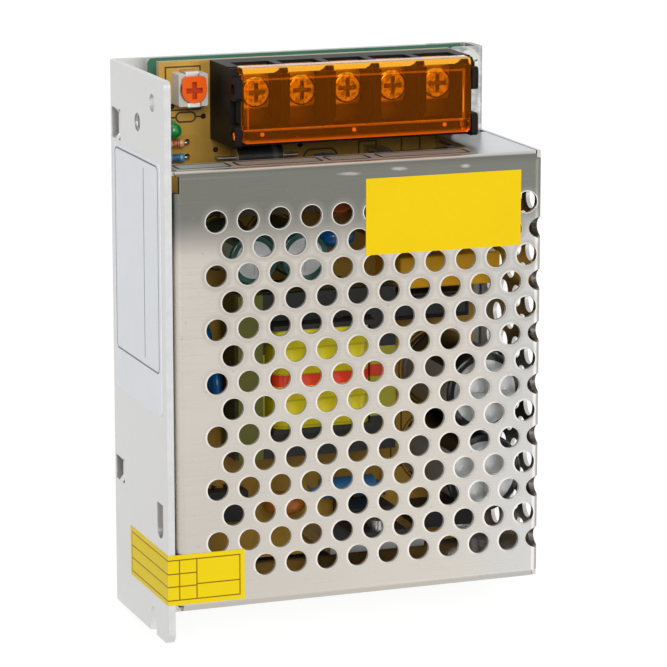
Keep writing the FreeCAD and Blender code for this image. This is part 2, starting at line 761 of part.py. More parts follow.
def build_trimmer():
    """The white trimmer body with its turning rotor, round below and square above its cross slot."""
    x, y = left + 13.6, far_end - 5.3
    body = new_body("trimmer_body")
    block(body, "trimmer_case", "XY", rectangle(x - 3.0, x + 3.0, y - 3.2, y + 3.2),
          board_top, board_top + 4.4)
    round_edges(body, "trimmer_corners", 0.3, upright)
    discs(body, "trimmer_seat", "XY", [(x, y)], 5.7, board_top + 3.8, board_top + 6, cut=True)
    discs(body, "trimmer_bore", "XY", [(x, y)], 3.0, board_top + 1.6, board_top + 6, cut=True)
    rotor = new_body("trimmer_rotor")
    discs(rotor, "rotor_disc", "XY", [(x, y)], 5.0, board_top + 3.9, board_top + 5.2)
    discs(rotor, "rotor_stem", "XY", [(x, y)], 2.3, board_top + 2.0, board_top + 4.0)
    brow = [
        (x - 2.45, y), (x + 2.45, y), (x + 2.45, y + 2.2), (x + 1.9, y + 2.75),
        (x - 1.9, y + 2.75), (x - 2.45, y + 2.2),
    ]
    block(rotor, "rotor_brow", "XY", brow, board_top + 4.6, board_top + 5.2)
    cross = [
        (x - 0.5, y - 1.7), (x + 0.5, y - 1.7), (x + 0.5, y - 0.5), (x + 1.7, y - 0.5),
        (x + 1.7, y + 0.5), (x + 0.5, y + 0.5), (x + 0.5, y + 1.7), (x - 0.5, y + 1.7),
        (x - 0.5, y + 0.5), (x - 1.7, y + 0.5), (x - 1.7, y - 0.5), (x - 0.5, y - 0.5),
    ]
    block(rotor, "rotor_cross", "XY", cross, board_top + 4.4, board_top + 6, cut=True)


def build_lamp():
    """The round indicator lamp with its flange and dome."""
    x, y = left + 9.75, far_end - 13.2
    body = new_body("indicator_lamp")
    discs(body, "lamp_flange", "XY", [(x, y)], 3.6, board_top, board_top + 1.0)
    discs(body, "lamp_barrel", "XY", [(x, y)], 3.0, board_top + 0.9, board_top + 5.2)

    def crown(box, edge):
        return box.ZLength < 0.01 and near(box.ZMin, board_top + 5.2)

    round_edges(body, "lamp_dome", 1.4, crown)


def can_capacitor(name, x, y, diameter, height):
    """An upright electrolytic can with a rolled bead near its base."""
    x, y, diameter = dim(x), dim(y), dim(diameter)
    base = board_top
    can = rod(name + "_can", "Z", (x, y, base), diameter, height)
    bead = doc.addObject("Part::Torus", name + "_bead")
    ring = diameter / 2 + 0.25
    bead.Radius1 = ring.value
    bound(bead, "Radius1", ring)
    bead.Radius2 = 0.6
    placed(bead, x, y, base + 2.2)
    beaded = cut_from(name + "_beaded", can, [bead])
    top = base + height

    def crown(box, edge):
        return box.ZLength < 0.01 and near(box.ZMin, top)

    return softened(name, beaded, 0.6, crown)


def axial_part(name, x, y, along, body_size, span, level=1.9):
    """A lead mounted part: a rounded barrel on two bent leads standing on the board."""
    length, diameter = body_size
    centre = board_top + level
    x, y = dim(x), dim(y)
    reach = span / 2
    lead_length = dim(span) + 0.7
    pieces = []
    if along == "X":
        start = (x - length / 2, y, centre)
        lead = (x - reach - 0.35, y, centre)
        feet = [(x - reach, y), (x + reach, y)]
    else:
        start = (x, y - length / 2, centre)
        lead = (x, y - reach - 0.35, centre)
        feet = [(x, y - reach), (x, y + reach)]
    pieces.append(rod(name + "_barrel", along, start, diameter, length))
    pieces.append(rod(name + "_lead", along, lead, 0.7, lead_length))
    for i, (fx, fy) in enumerate(feet):
        pieces.append(rod(name + "_foot" + str(i), "Z", (fx, fy, board_top), 0.5, level))
    return fused(name, pieces)


def disc_part(name, x, y, across, diameter, thickness):
    """An upright disc on two leads, flat along X or Y."""
    x, y = dim(x), dim(y)
    centre = board_top + 2.0 + diameter / 2
    if across == "X":
        start = (x - thickness / 2, y, centre)
        feet = [(x, y - 2.5), (x, y + 2.5)]
    else:
        start = (x, y - thickness / 2, centre)
        feet = [(x - 2.5, y), (x + 2.5, y)]
    disc = rod(name + "_disc", across, start, diameter, thickness)
    soft = softened(name + "_soft", disc, thickness * 0.42, lambda b, e: len(e.Vertexes) == 1)
    leads = []
    for i, (fx, fy) in enumerate(feet):
        leads.append(rod(name + "_lead" + str(i), "Z", (fx, fy, board_top), 0.7, 3.4))
    return fused(name, [soft] + leads)


def build_transformer():
    """Core halves, bobbin, winding and the tape that binds the core."""
    x0, y0 = left + 18.45, near_end + 32.5
    x1, y1 = x0 + 33.0, y0 + 33.0
    low, high = board_top + 5.5, board_top + 16.5
    middle = (x0 + x1) / 2
    leg = dim(5.4)
    e_part = new_body("transformer_core_e")
    e_outline = [
        (x0, y0), (x1, y0), (x1, y1 - leg), (x1 - leg, y1 - leg), (x1 - leg, y0 + leg),
        (middle + leg, y0 + leg), (middle + leg, y1 - leg), (middle - leg, y1 - leg),
        (middle - leg, y0 + leg), (x0 + leg, y0 + leg), (x0 + leg, y1 - leg), (x0, y1 - leg),
    ]
    block(e_part, "e_core", "XY", e_outline, low, high)
    i_part = new_body("transformer_core_i")
    block(i_part, "i_core", "XY", rectangle(x0, x1, y1 - leg, y1), low, high)

    bobbin = new_body("transformer_bobbin")
    reach = dim(10.6)
    tube = (middle - leg - 0.8, middle + leg + 0.8)
    ends = ((y0 + leg + 0.2, y0 + leg + 1.2), (y1 - leg - 1.2, y1 - leg - 0.2))
    for tag, (a, b) in zip(("near", "far"), ends):
        cheek = rectangle(middle - reach, middle + reach, board_top + 2.4, high + 4.0)
        block(bobbin, "cheek_" + tag, "XZ", cheek, a, b)
        if tag == "near":
            sleeve = rectangle(tube[0], tube[1], low - 0.8, high + 0.8)
            block(bobbin, "sleeve", "XZ", sleeve, ends[0][0], ends[1][1])
    for tag, a, b in (("near", y0 + 0.6, ends[0][1]), ("far", ends[1][0], y1 - 0.6)):
        rail = rectangle(middle - reach, middle + reach, board_top, board_top + 5.2)
        block(bobbin, "pin_rail_" + tag, "XZ", rail, a, b)
    window = rectangle(middle - leg - 0.05, middle + leg + 0.05, low - 0.05, high + 0.05)
    block(bobbin, "core_window", "XZ", window, y0, y1, cut=True)

    winding = new_body("transformer_winding")
    coil = rectangle(middle - reach + 0.6, middle + reach - 0.6, board_top + 2.9, high + 3.6)
    block(winding, "coil", "XZ", coil, ends[0][1], ends[1][0])
    round_edges(winding, "coil_corners", 2.4,
                lambda b, e: b.XLength < 0.01 and b.ZLength < 0.01)
    opening = rectangle(tube[0], tube[1], low - 0.8, high + 0.8)
    block(winding, "coil_window", "XZ", opening, y0, y1, cut=True)

    tape = new_body("transformer_tape")
    wrap = rectangle(x0 - 0.25, x1 + 0.25, y0 - 0.25, y1 + 0.25)
    block(tape, "tape_wrap", "XY", wrap, low + 1.6, high - 1.6)
    hollow = rectangle(x0, x1, y0, y1)
    block(tape, "tape_hollow", "XY", hollow, low, high, cut=True)


def build_choke():
    """Mains filter choke: a closed core with two windings and a divider."""
    x, y = right - 21.85, cover_far - 13.15
    core = new_body("choke_core")
    block(core, "choke_ring", "XZ", rectangle(x - 8.0, x + 8.0, board_top, board_top + 15.5),
          y - 3.0, y + 3.0)
    block(core, "choke_window", "XZ", rectangle(x - 4.8, x + 4.8, board_top + 3.2, board_top + 12.3),
          y - 4, y + 4, cut=True)
    coils = []
    for tag, side in (("left", -1), ("right", 1)):
        cx = x + side * 6.2
        outer = brick("choke_coil_blank_" + tag, (cx - 3.2, cx + 3.2), (y - 4.9, y + 4.9),
                      (board_top + 3.7, board_top + 11.8))
        inner = brick("choke_coil_window_" + tag, (x + 4.8, x + 8.0) if side > 0
                      else (x - 8.0, x - 4.8), (y - 3.0, y + 3.0), (board_top + 3, board_top + 13))
        coils.append(cut_from("choke_coil_" + tag, softened("choke_coil_soft_" + tag, outer, 1.2, upright),
                              [inner]))
    group("choke_windings", coils)


def build_small_parts():
    """Capacitors, resistors, fuse, chips and other board parts."""
    output_row = cover_far - 19.25
    input_column = right - 10.85
    group("output_capacitors", [
        can_capacitor("output_cap_left", left + 20.45, output_row, 10.0, tall_can - 4.5),
        can_capacitor("output_cap_right", left + 30.85, output_row, 10.0, tall_can - 4.5),
    ])
    group("input_capacitors", [
        can_capacitor("input_cap_far", input_column, near_end + 44.4, 16.0, tall_can),
        can_capacitor("input_cap_near", input_column, near_end + 27.8, 16.0, tall_can),
    ])
    film = brick("film_blank", (right - 24.65, right - 3.05), (cover_far - 28.65, cover_far - 22.15),
                 (board_top, board_top + 14.0))
    keep("film_capacitor", softened("film_soft", film, 0.5, any_edge))
    group("disc_capacitors", [
        disc_part("disc_far", left + 42.15, cover_far - 18.25, "Y", 8.4, 3.4),
        disc_part("disc_side", left + 12.95, near_end + 54.5, "X", 11.5, 3.4),
        disc_part("disc_shelf", left + 41.0, cover_far - 3.4, "Y", 6.0, 2.8),
    ])
    keep("surge_disc", disc_part("surge", left + 31.45, near_end + 20.4, "Y", 8.5, 3.4))
    keep("inrush_thermistor", disc_part("inrush", right - 7.15, cover_far - 12.15, "Y", 9.5, 4.2))

    ends = []
    clips = []
    fuse_y, fuse_z = cover_far - 4.6, board_top + 4.2
    tube = rod("fuse_glass", "X", (right - 22.85, fuse_y, fuse_z), 4.7, 10.6)
    keep("fuse_tube", tube)
    for tag, x in (("a", right - 27.85), ("b", right - 12.25)):
        ends.append(rod("fuse_cap_" + tag, "X", (x, fuse_y, fuse_z), 5.1, 5.0))
        saddle = brick("clip_blank_" + tag, (x + 0.6, x + 4.0), (fuse_y - 3.2, fuse_y + 3.2),
                       (board_top, fuse_z + 2.0))
        bore = rod("clip_bore_" + tag, "X", (x - 1, fuse_y, fuse_z), 5.1, 8)
        mouth = brick("clip_mouth_" + tag, (x - 1, x + 6), (fuse_y - 2.1, fuse_y + 2.1),
                      (fuse_z, fuse_z + 4))
        clips.append(cut_from("clip_" + tag, saddle, [bore, mouth]))
    group("fuse_caps", ends)
    group("fuse_clips", clips)

    bridge_x, bridge_y = right - 19.55, near_end + 13.8
    rectifier = brick("bridge_blank", (bridge_x, bridge_x + 14.5), (bridge_y, bridge_y + 3.5),
                      (board_top + 1.0, board_top + 11.5))
    legs = [brick("bridge_leg_" + str(i), (bridge_x + 1.5 + 3.6 * i, bridge_x + 2.5 + 3.6 * i),
                  (bridge_y + 1.4, bridge_y + 2.1), (board_top, board_top + 1.5)) for i in range(4)]
    keep("bridge_rectifier", fused("bridge", [softened("bridge_soft", rectifier, 0.4, upright)] + legs))

    drum_x, drum_y = left + 41.35, cover_far - 9.25
    drum = rod("inductor_drum", "Z", (drum_x, drum_y, board_top), 7.0, 12.0)
    waist = rod("inductor_coil", "Z", (drum_x, drum_y, board_top + 1.6), 8.2, 8.8)
    keep("output_inductor", softened("inductor_soft", fused("inductor_blank", [drum, waist]), 0.4,
                                     lambda b, e: near(b.ZMin, board_top + 12.0)))

    chip_x, chip_y = left + 14.95, near_end + 16.8
    chip = brick("chip_blank", (chip_x, chip_x + 9.6), (chip_y, chip_y + 6.4),
                 (board_top + 0.8, board_top + 4.2))
    chip_legs = [brick("chip_leg_" + str(i), (chip_x + 0.6 + 2.54 * i, chip_x + 1.1 + 2.54 * i),
                       (chip_y - 0.5, chip_y + 6.9), (board_top, board_top + 2.0)) for i in range(4)]
    keep("control_chip", fused("chip", [softened("chip_soft", chip, 0.3, upright)] + chip_legs))
    opto_x, opto_y = left + 11.55, near_end + 37.4
    opto = brick("opto_blank", (opto_x, opto_x + 4.6), (opto_y, opto_y + 6.4),
                 (board_top + 0.8, board_top + 4.2))
    opto_legs = [brick("opto_leg_" + str(i), (opto_x + 0.5 + 2.54 * i, opto_x + 1.0 + 2.54 * i),
                       (opto_y - 0.5, opto_y + 6.9), (board_top, board_top + 2.0)) for i in range(2)]
    keep("optocoupler", fused("coupler", [softened("opto_soft", opto, 0.3, upright)] + opto_legs))

    small = (3.2, 1.8)
    group("axial_resistors_tan", [
        axial_part("tan_a", left + 10.95, far_end - 16.1, "X", small, 5.4, 1.2),
        axial_part("tan_b", left + 10.95, cover_far - 28.15, "X", small, 5.4, 1.2),
        axial_part("tan_c", left + 11.35, near_end + 30.5, "Y", small, 6.4, 1.2),
        axial_part("tan_d", left + 55.15, near_end + 22.0, "Y", small, 6.4, 1.2),
    ])
    group("axial_resistors_blue", [
        axial_part("blue_a", left + 10.95, far_end - 19.0, "X", small, 5.4, 1.2),
        axial_part("blue_b", left + 14.55, near_end + 30.5, "Y", small, 6.4, 1.2),
        axial_part("blue_c", right - 22.85, near_end + 34.5, "Y", small, 6.4, 1.2),
    ])
    keep("power_resistor", axial_part("power_res", left + 46.35, near_end + 21.6, "X",
                                      (11.0, 4.2), 15.0, 2.6))
    keep("output_diode", axial_part("diode", left + 27.45, cover_far - 2.05, "X",
                                    (9.5, 4.4), 16.0, 2.5))


def device(name, x, y, facing):
    """A flat power device: moulded body on a metal tab with three legs, against a plate at y."""
    side = dim(facing)
    tab = brick(name + "_tab", (x - 5.0, x + 5.0), (y, y + 1.3) if facing > 0 else (y - 1.3, y),
                (board_top + 4.0, board_top + 19.5))
    body = brick(name + "_body", (x - 5.0, x + 5.0), (y, y + 4.4) if facing > 0 else (y - 4.4, y),
                 (board_top + 3.6, board_top + 12.6))
    pieces = [tab, body]
    for i in (-1, 0, 1):
        a = y + side * 2.6
        pieces.append(brick(name + "_leg" + str(i + 1), (x + 2.54 * i - 0.4, x + 2.54 * i + 0.4),
                            (a - 0.3, a + 0.3), (board_top, board_top + 4.5)))
    solid = fused(name + "_blank", pieces)
    bore = rod(name + "_bore", "Y", (x, y - 3, board_top + 16.4), 3.8, 6)
    return cut_from(name + "_cut", solid, [bore])


def sink_plate(name, x0, x1, y0, thickness, bore_x):
    """An upright plate with two feet on the board and a hole for the device screw."""
    body = new_body(name)
    plate = [
        (x0, board_top + 2.0), (x0 + 3, board_top + 2.0), (x0 + 3, board_top), (x0 + 6, board_top),
        (x0 + 6, board_top + 2.0), (x1 - 6, board_top + 2.0), (x1 - 6, board_top),
        (x1 - 3, board_top), (x1 - 3, board_top + 2.0), (x1, board_top + 2.0),
        (x1, board_top + 21.0), (x0, board_top + 21.0),
    ]
    block(body, name + "_plate", "XZ", plate, y0, y0 + thickness)
    discs(body, name + "_bore", "XZ", [(bore_x, board_top + 16.4)], 2.6, y0 - 1, y0 + 3, cut=True)


def pan_screw(name, axis, start, head, shank):
    """A pan head screw: head (diameter, height) at the start, shank running back from it."""
    x, y, z = [dim(v) for v in start]
    if axis == "Z":
        top = rod(name + "_head", "Z", (x, y, z), head[0], head[1])
        stem = rod(name + "_shank", "Z", (x, y, z - shank[1]), shank[0], shank[1] + 0.5)
        slot = brick(name + "_slot", (x - head[0] / 2 + 0.6, x + head[0] / 2 - 0.6),
                     (y - 0.35, y + 0.35), (z + head[1] - 0.7, z + head[1] + 1))
    else:
        top = rod(name + "_head", "Y", (x, y, z), head[0], head[1])
        stem = rod(name + "_shank", "Y", (x, y - shank[1], z), shank[0], shank[1] + 0.5)
        slot = brick(name + "_slot", (x - head[0] / 2 + 0.6, x + head[0] / 2 - 0.6),
                     (y + head[1] - 0.7, y + head[1] + 1), (z - 0.35, z + 0.35))
    return cut_from(name, fused(name + "_blank", [top, stem]), [slot])


def build_sinks():
    """Two upright plates with the power devices screwed to them."""
    input_x, input_y = left + 47.95, near_end + 15.0
    output_x, output_y = left + 26.95, cover_far - 8.45
    plate = 2.0
    sink_plate("heat_sink_input", input_x - 12.0, input_x + 8.0, input_y - plate, plate, input_x)
    sink_plate("heat_sink_output", output_x - 13.5, output_x + 9.5, output_y - plate, plate, output_x)
    keep("power_transistor", device("transistor", input_x, input_y, 1))
    keep("output_rectifier", device("rectifier", output_x, output_y, 1))
    level = board_top + 16.4
    group("device_screws", [
        pan_screw("device_screw_a", "Y", (input_x, input_y + 1.3, level), (5.4, 2.0), (2.4, 3.3)),
        pan_screw("device_screw_b", "Y", (output_x, output_y + 1.3, level), (5.4, 2.0), (2.4, 3.3)),
    ])


def build_fasteners():
    """Board screws and the flush cover screws."""
    group("board_screws", [
        pan_screw("board_screw_right", "Z", (*board_screw_spots[0], board_top), (5.4, 1.9), (2.4, 5.2)),
        pan_screw("board_screw_left", "Z", (*board_screw_spots[1], board_top), (5.4, 1.9), (2.4, 5.2)),
        pan_screw("board_screw_ear", "Z", (*ear_screw_spot, board_top), (4.6, 1.9), (2.4, 3.6)),
    ])
    items = []
    for tag, y in (("far", cover_far - 4.65), ("near", cover_near + 8.8)):
        level = wall_sheet + 2.5
        head = rod("cover_head_" + tag, "X", (cover_right - cover_sheet, y, level), 4.4, cover_sheet)
        slot_y = brick("cover_slot_" + tag, (cover_right - 0.4, cover_right + 1), (y - 1.6, y + 1.6),
                       (level - 0.35, level + 0.35))
        items.append(cut_from("cover_screw_" + tag, head, [slot_y]))
    group("cover_screws", items)


# Labels, all without print

def build_labels():
    """Thin films on the wall, the cover face and the shelf."""
    side = new_body("side_label")
    block(side, "side_film", "YZ", rectangle(near_end + 44.7, far_end - 15.9, 2.9, case_height - 2.7),
          left - label_film, left)
    round_edges(side, "side_corners", 1.6, lambda b, e: b.YLength < 0.01 and b.ZLength < 0.01)
    caution = new_body("cover_label")
    face = rectangle(right - 37.35, right - 4.85, cover_far - 18.35, cover_far - 3.35)
    block(caution, "cover_film", "XY", face, case_height, case_height + label_film)
    date = new_body("date_label")
    low, high = cover_near + 1.8, cover_near + 11.8
    outer = [
        (left - label_film, 11.7), (left, 11.7), (left, case_height), (left + 15.55, case_height),
        (left + 15.55, case_height + label_film), (left - label_film, case_height + label_film),
    ]
    block(date, "date_film", "XZ", outer, low, high)
    shelf = new_body("shelf_label")
    strip = rectangle(cover_left + 1.6, shelf_edge - 1.2, case_height - shelf_strip + 0.6, case_height - 2.4)
    block(shelf, "shelf_film", "XZ", strip, cover_far, cover_far + label_film)


# Build, check and export

def check_all():
    """Stops on any object with an error and on any empty or faulty node."""
    doc.recompute()
    for item in doc.Objects:
        for state in item.State:
            if "Invalid" in state or "Error" in state:
                raise RuntimeError(item.Label + " is " + state)
    for name, item in nodes.items():
        shape = item.Shape
        if shape.isNull() or not shape.isValid() or shape.Volume <= 0:
            raise RuntimeError(name + " is faulty")


def export_all():
    """Writes each node to its own file."""
    os.makedirs("parts", exist_ok=True)
    for name, item in nodes.items():
        item.Shape.exportStep(os.path.join("parts", name + ".step"))
        print(name, len(item.Shape.Solids), round(item.Shape.Volume, 1))


build_chassis()
build_cover()
build_board()
build_insulation()
build_housing()
build_contacts()
build_clamps_and_screws()
build_flap()
build_trimmer()
build_lamp()
build_transformer()
build_choke()
build_small_parts()
build_sinks()
build_fasteners()
build_labels()
check_all()
export_all()
print(len(nodes), "nodes")
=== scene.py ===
import logging
import math
from dataclasses import dataclass, field
from enum import Enum
from typing import Any

import bmesh
import bpy
from mathutils import Matrix, Vector


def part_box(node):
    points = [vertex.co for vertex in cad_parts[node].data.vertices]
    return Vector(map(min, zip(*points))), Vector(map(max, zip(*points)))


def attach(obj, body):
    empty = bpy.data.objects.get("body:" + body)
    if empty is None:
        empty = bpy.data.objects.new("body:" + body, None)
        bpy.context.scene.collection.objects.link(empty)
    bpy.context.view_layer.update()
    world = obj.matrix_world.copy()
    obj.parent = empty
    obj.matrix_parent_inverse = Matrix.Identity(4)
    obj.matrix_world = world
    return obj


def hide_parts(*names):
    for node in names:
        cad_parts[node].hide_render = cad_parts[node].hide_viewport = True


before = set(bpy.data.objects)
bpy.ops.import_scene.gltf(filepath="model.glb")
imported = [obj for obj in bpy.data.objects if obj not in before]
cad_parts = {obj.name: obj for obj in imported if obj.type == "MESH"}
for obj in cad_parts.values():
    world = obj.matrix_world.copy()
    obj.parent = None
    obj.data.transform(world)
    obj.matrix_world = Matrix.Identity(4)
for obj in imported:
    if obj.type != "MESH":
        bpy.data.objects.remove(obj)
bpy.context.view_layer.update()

# Looks of an enclosed switching power supply that lies on its base plate.
# +X runs to the cover's side wall, +Y to the terminals, +Z up through the perforated cover.
# Places are written in millimetres and turned into metres where a mesh is made.

MM = 0.001
BOARD_TOP = 8.0
NODES: dict[str, bpy.types.Object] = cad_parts
LOG = logging.getLogger("power_supply")

# Sides are a low and a low end, then a high and a high end, along two axes.
# A profile is a row of points, each a radius and a height.

Colour = tuple[float, float, float]
Spot = tuple[float, float, float]
Sides = tuple[float, float, float, float]
Profile = list[tuple[float, float]]


def srgb(red: int, green: int, blue: int) -> Colour:
    """The linear colour of three screen values.

    Args:
        red: red from 0 to 255.
        green: green from 0 to 255.
        blue: blue from 0 to 255.

    Returns:
        The linear colour.
    """
    def linear(value: int) -> float:
        """One channel of the sRGB standard."""
        part = value / 255
        return part / 12.92 if part <= 0.04045 else ((part + 0.055) / 1.055) ** 2.4
    return (linear(red), linear(green), linear(blue))


def toned(colour: Colour, factor: float) -> Colour:
    """A colour times a factor, with no channel over 1."""
    return tuple(min(1.0, channel * factor) for channel in colour)


def node_box(name: str) -> tuple[Vector, Vector]:
    """Lowest and highest corner of a CAD node, in millimetres."""
    low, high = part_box(name)
    return low / MM, high / MM


# Shader graph


class Field:
    """A number that changes over a surface. Arithmetic on it adds Math nodes."""

    def __init__(self, graph: "Graph", socket: bpy.types.NodeSocket) -> None:
        """Wraps the output socket of a node in a graph."""
        self.graph = graph
        self.socket = socket

    def __add__(self, other: "Field | float") -> "Field":
        """self + other"""
        return self.graph.math("ADD", self, other)

    __radd__ = __add__

    def __sub__(self, other: "Field | float") -> "Field":
        """self - other"""
        return self.graph.math("SUBTRACT", self, other)

    def __rsub__(self, other: "Field | float") -> "Field":
        """other - self"""
        return self.graph.math("SUBTRACT", other, self)

    def __mul__(self, other: "Field | float") -> "Field":
        """self * other"""
        return self.graph.math("MULTIPLY", self, other)

    __rmul__ = __mul__

    def __truediv__(self, other: "Field | float") -> "Field":
        """self / other"""
        return self.graph.math("DIVIDE", self, other)

    def __gt__(self, other: "Field | float") -> "Field":
        """1 where self is over other, else 0"""
        return self.graph.math("GREATER_THAN", self, other)

    def __lt__(self, other: "Field | float") -> "Field":
        """1 where self is under other, else 0"""
        return self.graph.math("LESS_THAN", self, other)

    def __or__(self, other: "Field") -> "Field":
        """The larger of two masks."""
        return self.graph.math("MAXIMUM", self, other)

    def __and__(self, other: "Field") -> "Field":
        """The product of two masks."""
        return self.graph.math("MULTIPLY", self, other)

    def __abs__(self) -> "Field":
        """The value without its sign."""
        return self.graph.math("ABSOLUTE", self)

    def root(self) -> "Field":
        """The square root."""
        return self.graph.math("SQRT", self)

    def floored(self) -> "Field":
        """The value, or 0 where it is negative."""
        return self.graph.math("MAXIMUM", self, 0.0)

    def wrapped(self, period: float) -> "Field":
        """The value wrapped into 0 to period."""
        return self.graph.math("WRAP", self, 0.0, period)

    def between(self, low: float, high: float) -> "Field":
        """1 where the value lies between two limits, else 0."""
        return (self > low) & (self < high)

    def near(self, centre: float, half: float) -> "Field":
        """1 where the value lies within half of a centre, else 0."""
        return abs(self - centre) < half

    def eased(self, start: float, end: float) -> "Field":
        """A smooth step.

        Args:
            start: value up to which the result is 0.
            end: value from which it is 1.

        Returns:
            The step as a field.
        """
        settings = {"interpolation_type": "SMOOTHSTEP", "clamp": True}
        values = {"Value": self, "From Min": start, "From Max": end}
        return Field(self.graph, self.graph.node("ShaderNodeMapRange", settings, values).outputs[0])


def distance(across: Field, along: Field) -> Field:
    """The length of a step of two parts at right angles."""
    return (across * across + along * along).root()


def united(masks: list[Field]) -> Field:
    """The largest of some masks.

    Args:
        masks: one mask or more.

    Returns:
        The mask that they make together.
    """
    mask = masks[0]
    for other in masks[1:]:
        mask = mask | other
    return mask


def outline(across: Field, along: Field, sides: Sides, corner: float, line: float) -> Field:
    """An outline with round corners.

    Args:
        across: place along its first axis.
        along: place along its second axis.
        sides: its outer sides.
        corner: radius of its corners.
        line: width of its line.

    Returns:
        A mask of the line.
    """
    low_across, low_along, high_across, high_along = sides
    half_across, half_along = (high_across - low_across) / 2, (high_along - low_along) / 2
    beside = (abs(across - (low_across + high_across) / 2) - (half_across - corner)).floored()
    above = (abs(along - (low_along + high_along) / 2) - (half_along - corner)).floored()
    return distance(beside, above).near(corner - line / 2, line / 2)


@dataclass
class Skin:
    """What a finish hands to the shader: fields and colours for what varies, numbers for the rest.

    Args:
        colour: base colour, plain or from a colour socket.
        roughness: roughness, plain or a field.
        metallic: metallic, plain or a field.
        height: bump height in millimetres, or None.
        glow: emitted colour's socket, or None.
        fixed: further sockets of the shader and their plain values.
    """

    colour: Any
    roughness: Any = 0.5
    metallic: Any = 0.0
    height: Field | None = None
    glow: bpy.types.NodeSocket | None = None
    fixed: dict[str, Any] = field(default_factory=dict)


class Graph:
    """The node tree of one material or world."""

    def __init__(self, owner: bpy.types.Material | bpy.types.World) -> None:
        """Starts an empty tree.

        Args:
            owner: the material or world that holds it.
        """
        self.owner = owner
        self.owner.use_nodes = True
        self.tree = owner.node_tree
        self.tree.nodes.clear()
        self._place: bpy.types.NodeSocket | None = None

    def node(self, kind: str, settings: dict[str, Any], values: dict[Any, Any]) -> bpy.types.Node:
        """Adds a node.

        Args:
            kind: the node's type name.
            settings: its properties, which are set first.
            values: its input sockets by name or index, each with a plain value, a field or a socket.

        Returns:
            The new node.
        """
        made = self.tree.nodes.new(kind)
        for key, value in settings.items():
            setattr(made, key, value)
        for key, value in values.items():
            socket = value.socket if isinstance(value, Field) else value
            if isinstance(socket, bpy.types.NodeSocket):
                self.tree.links.new(socket, made.inputs[key])
            else:
                made.inputs[key].default_value = socket
        return made

    def math(self, operation: str, *values: Field | float) -> Field:
        """The result of a Math node on fields and numbers."""
        made = self.node("ShaderNodeMath", {"operation": operation}, dict(enumerate(values)))
        return Field(self, made.outputs[0])

    @property
    def place(self) -> bpy.types.NodeSocket:
        """The point on the surface.

        Returns:
            Its socket, in metres, in the object's own frame.
        """
        if self._place is None:
            self._place = self.node("ShaderNodeTexCoord", {}, {}).outputs["Object"]
        return self._place

    def scaled(self, factors: Spot) -> bpy.types.NodeSocket:
        """The point on the surface times a factor for each axis."""
        made = self.node("ShaderNodeVectorMath", {"operation": "MULTIPLY"}, {0: self.place, 1: factors})
        return made.outputs[0]

    def axes(self) -> tuple[Field, Field, Field]:
        """The point's X, Y and Z in millimetres."""
        made = self.node("ShaderNodeSeparateXYZ", {}, {0: self.scaled((1 / MM, 1 / MM, 1 / MM))})
        return Field(self, made.outputs[0]), Field(self, made.outputs[1]), Field(self, made.outputs[2])

    def pattern(self, kind: str, size: Spot | float, values: dict[str, Any]) -> Field:
        """A texture node's pattern over the surface.

        Args:
            kind: the node's type name.
            size: size of the pattern's features in millimetres, along each axis or along all.
            values: further input sockets.

        Returns:
            Its first output as a field.
        """
        sizes = size if isinstance(size, tuple) else (size, size, size)
        vector = self.scaled(tuple(1 / (MM * extent) for extent in sizes))
        made = self.node(kind, {}, {"Vector": vector, "Scale": 1.0, **values})
        return Field(self, made.outputs[0])

    def noise(self, size: Spot | float, detail: float = 3.0) -> Field:
        """Fractal noise from 0 to 1 with a number of finer layers."""
        return self.pattern("ShaderNodeTexNoise", size, {"Detail": detail})

    def cells(self, size: Spot | float) -> Field:
        """Distance to the nearest point of a random scatter, in cells."""
        return self.pattern("ShaderNodeTexVoronoi", size, {})

    def blend(self, mask: Field | float, under: Any, over: Any) -> bpy.types.NodeSocket:
        """Mixes two colours.

        Args:
            mask: share of the second colour.
            under: first colour, plain or a socket.
            over: second colour, plain or a socket.

        Returns:
            The mixed colour's socket.
        """
        def full(colour: Any) -> Any:
            """A plain colour with its alpha, or the socket as it is."""
            return (*colour, 1.0) if isinstance(colour, tuple) else colour
        values = {0: mask, 6: full(under), 7: full(over)}
        return self.node("ShaderNodeMix", {"data_type": "RGBA"}, values).outputs[2]

    def finish(self, skin: Skin) -> bpy.types.Material:
        """Adds the shader and its output.

        Args:
            skin: the surface's colour, gloss and height.

        Returns:
            The finished material.
        """
        values: dict[str, Any] = {"Roughness": skin.roughness, "Metallic": skin.metallic}
        plain = isinstance(skin.colour, tuple)
        values["Base Color"] = (*skin.colour, 1.0) if plain else skin.colour
        values.update(skin.fixed)
        if skin.glow is not None:
            values["Emission Color"] = skin.glow
            values["Emission Strength"] = 1.0
        if skin.height is not None:
            bump = self.node("ShaderNodeBump", {}, {"Height": skin.height, "Distance": MM, "Strength": 1.0})
            values["Normal"] = bump.outputs[0]
        shader = self.node("ShaderNodeBsdfPrincipled", {}, values)
        self.node("ShaderNodeOutputMaterial", {}, {0: shader.outputs[0]})
        return self.owner


# Finishes


class Lay(Enum):
    """The way the rolling grain of a sheet runs, as the stretch of its noise in millimetres."""

    ALONG = (0.25, 14.0, 0.25)
    ACROSS = (14.0, 0.25, 0.25)


@dataclass(frozen=True)
class Finish:
    """A surface finish.

    Args:
        name: name of its material.
        colour: its main colour.
        roughness: its roughness.
    """

    name: str
    colour: Colour
    roughness: float = 0.5

    def skin(self, graph: Graph) -> Skin:
        """The surface as a skin, built in the graph."""
        return Skin(self.colour, self.roughness)

    def material(self) -> bpy.types.Material:
        """Builds the material."""
        graph = Graph(bpy.data.materials.new(self.name))
        return graph.finish(self.skin(graph))


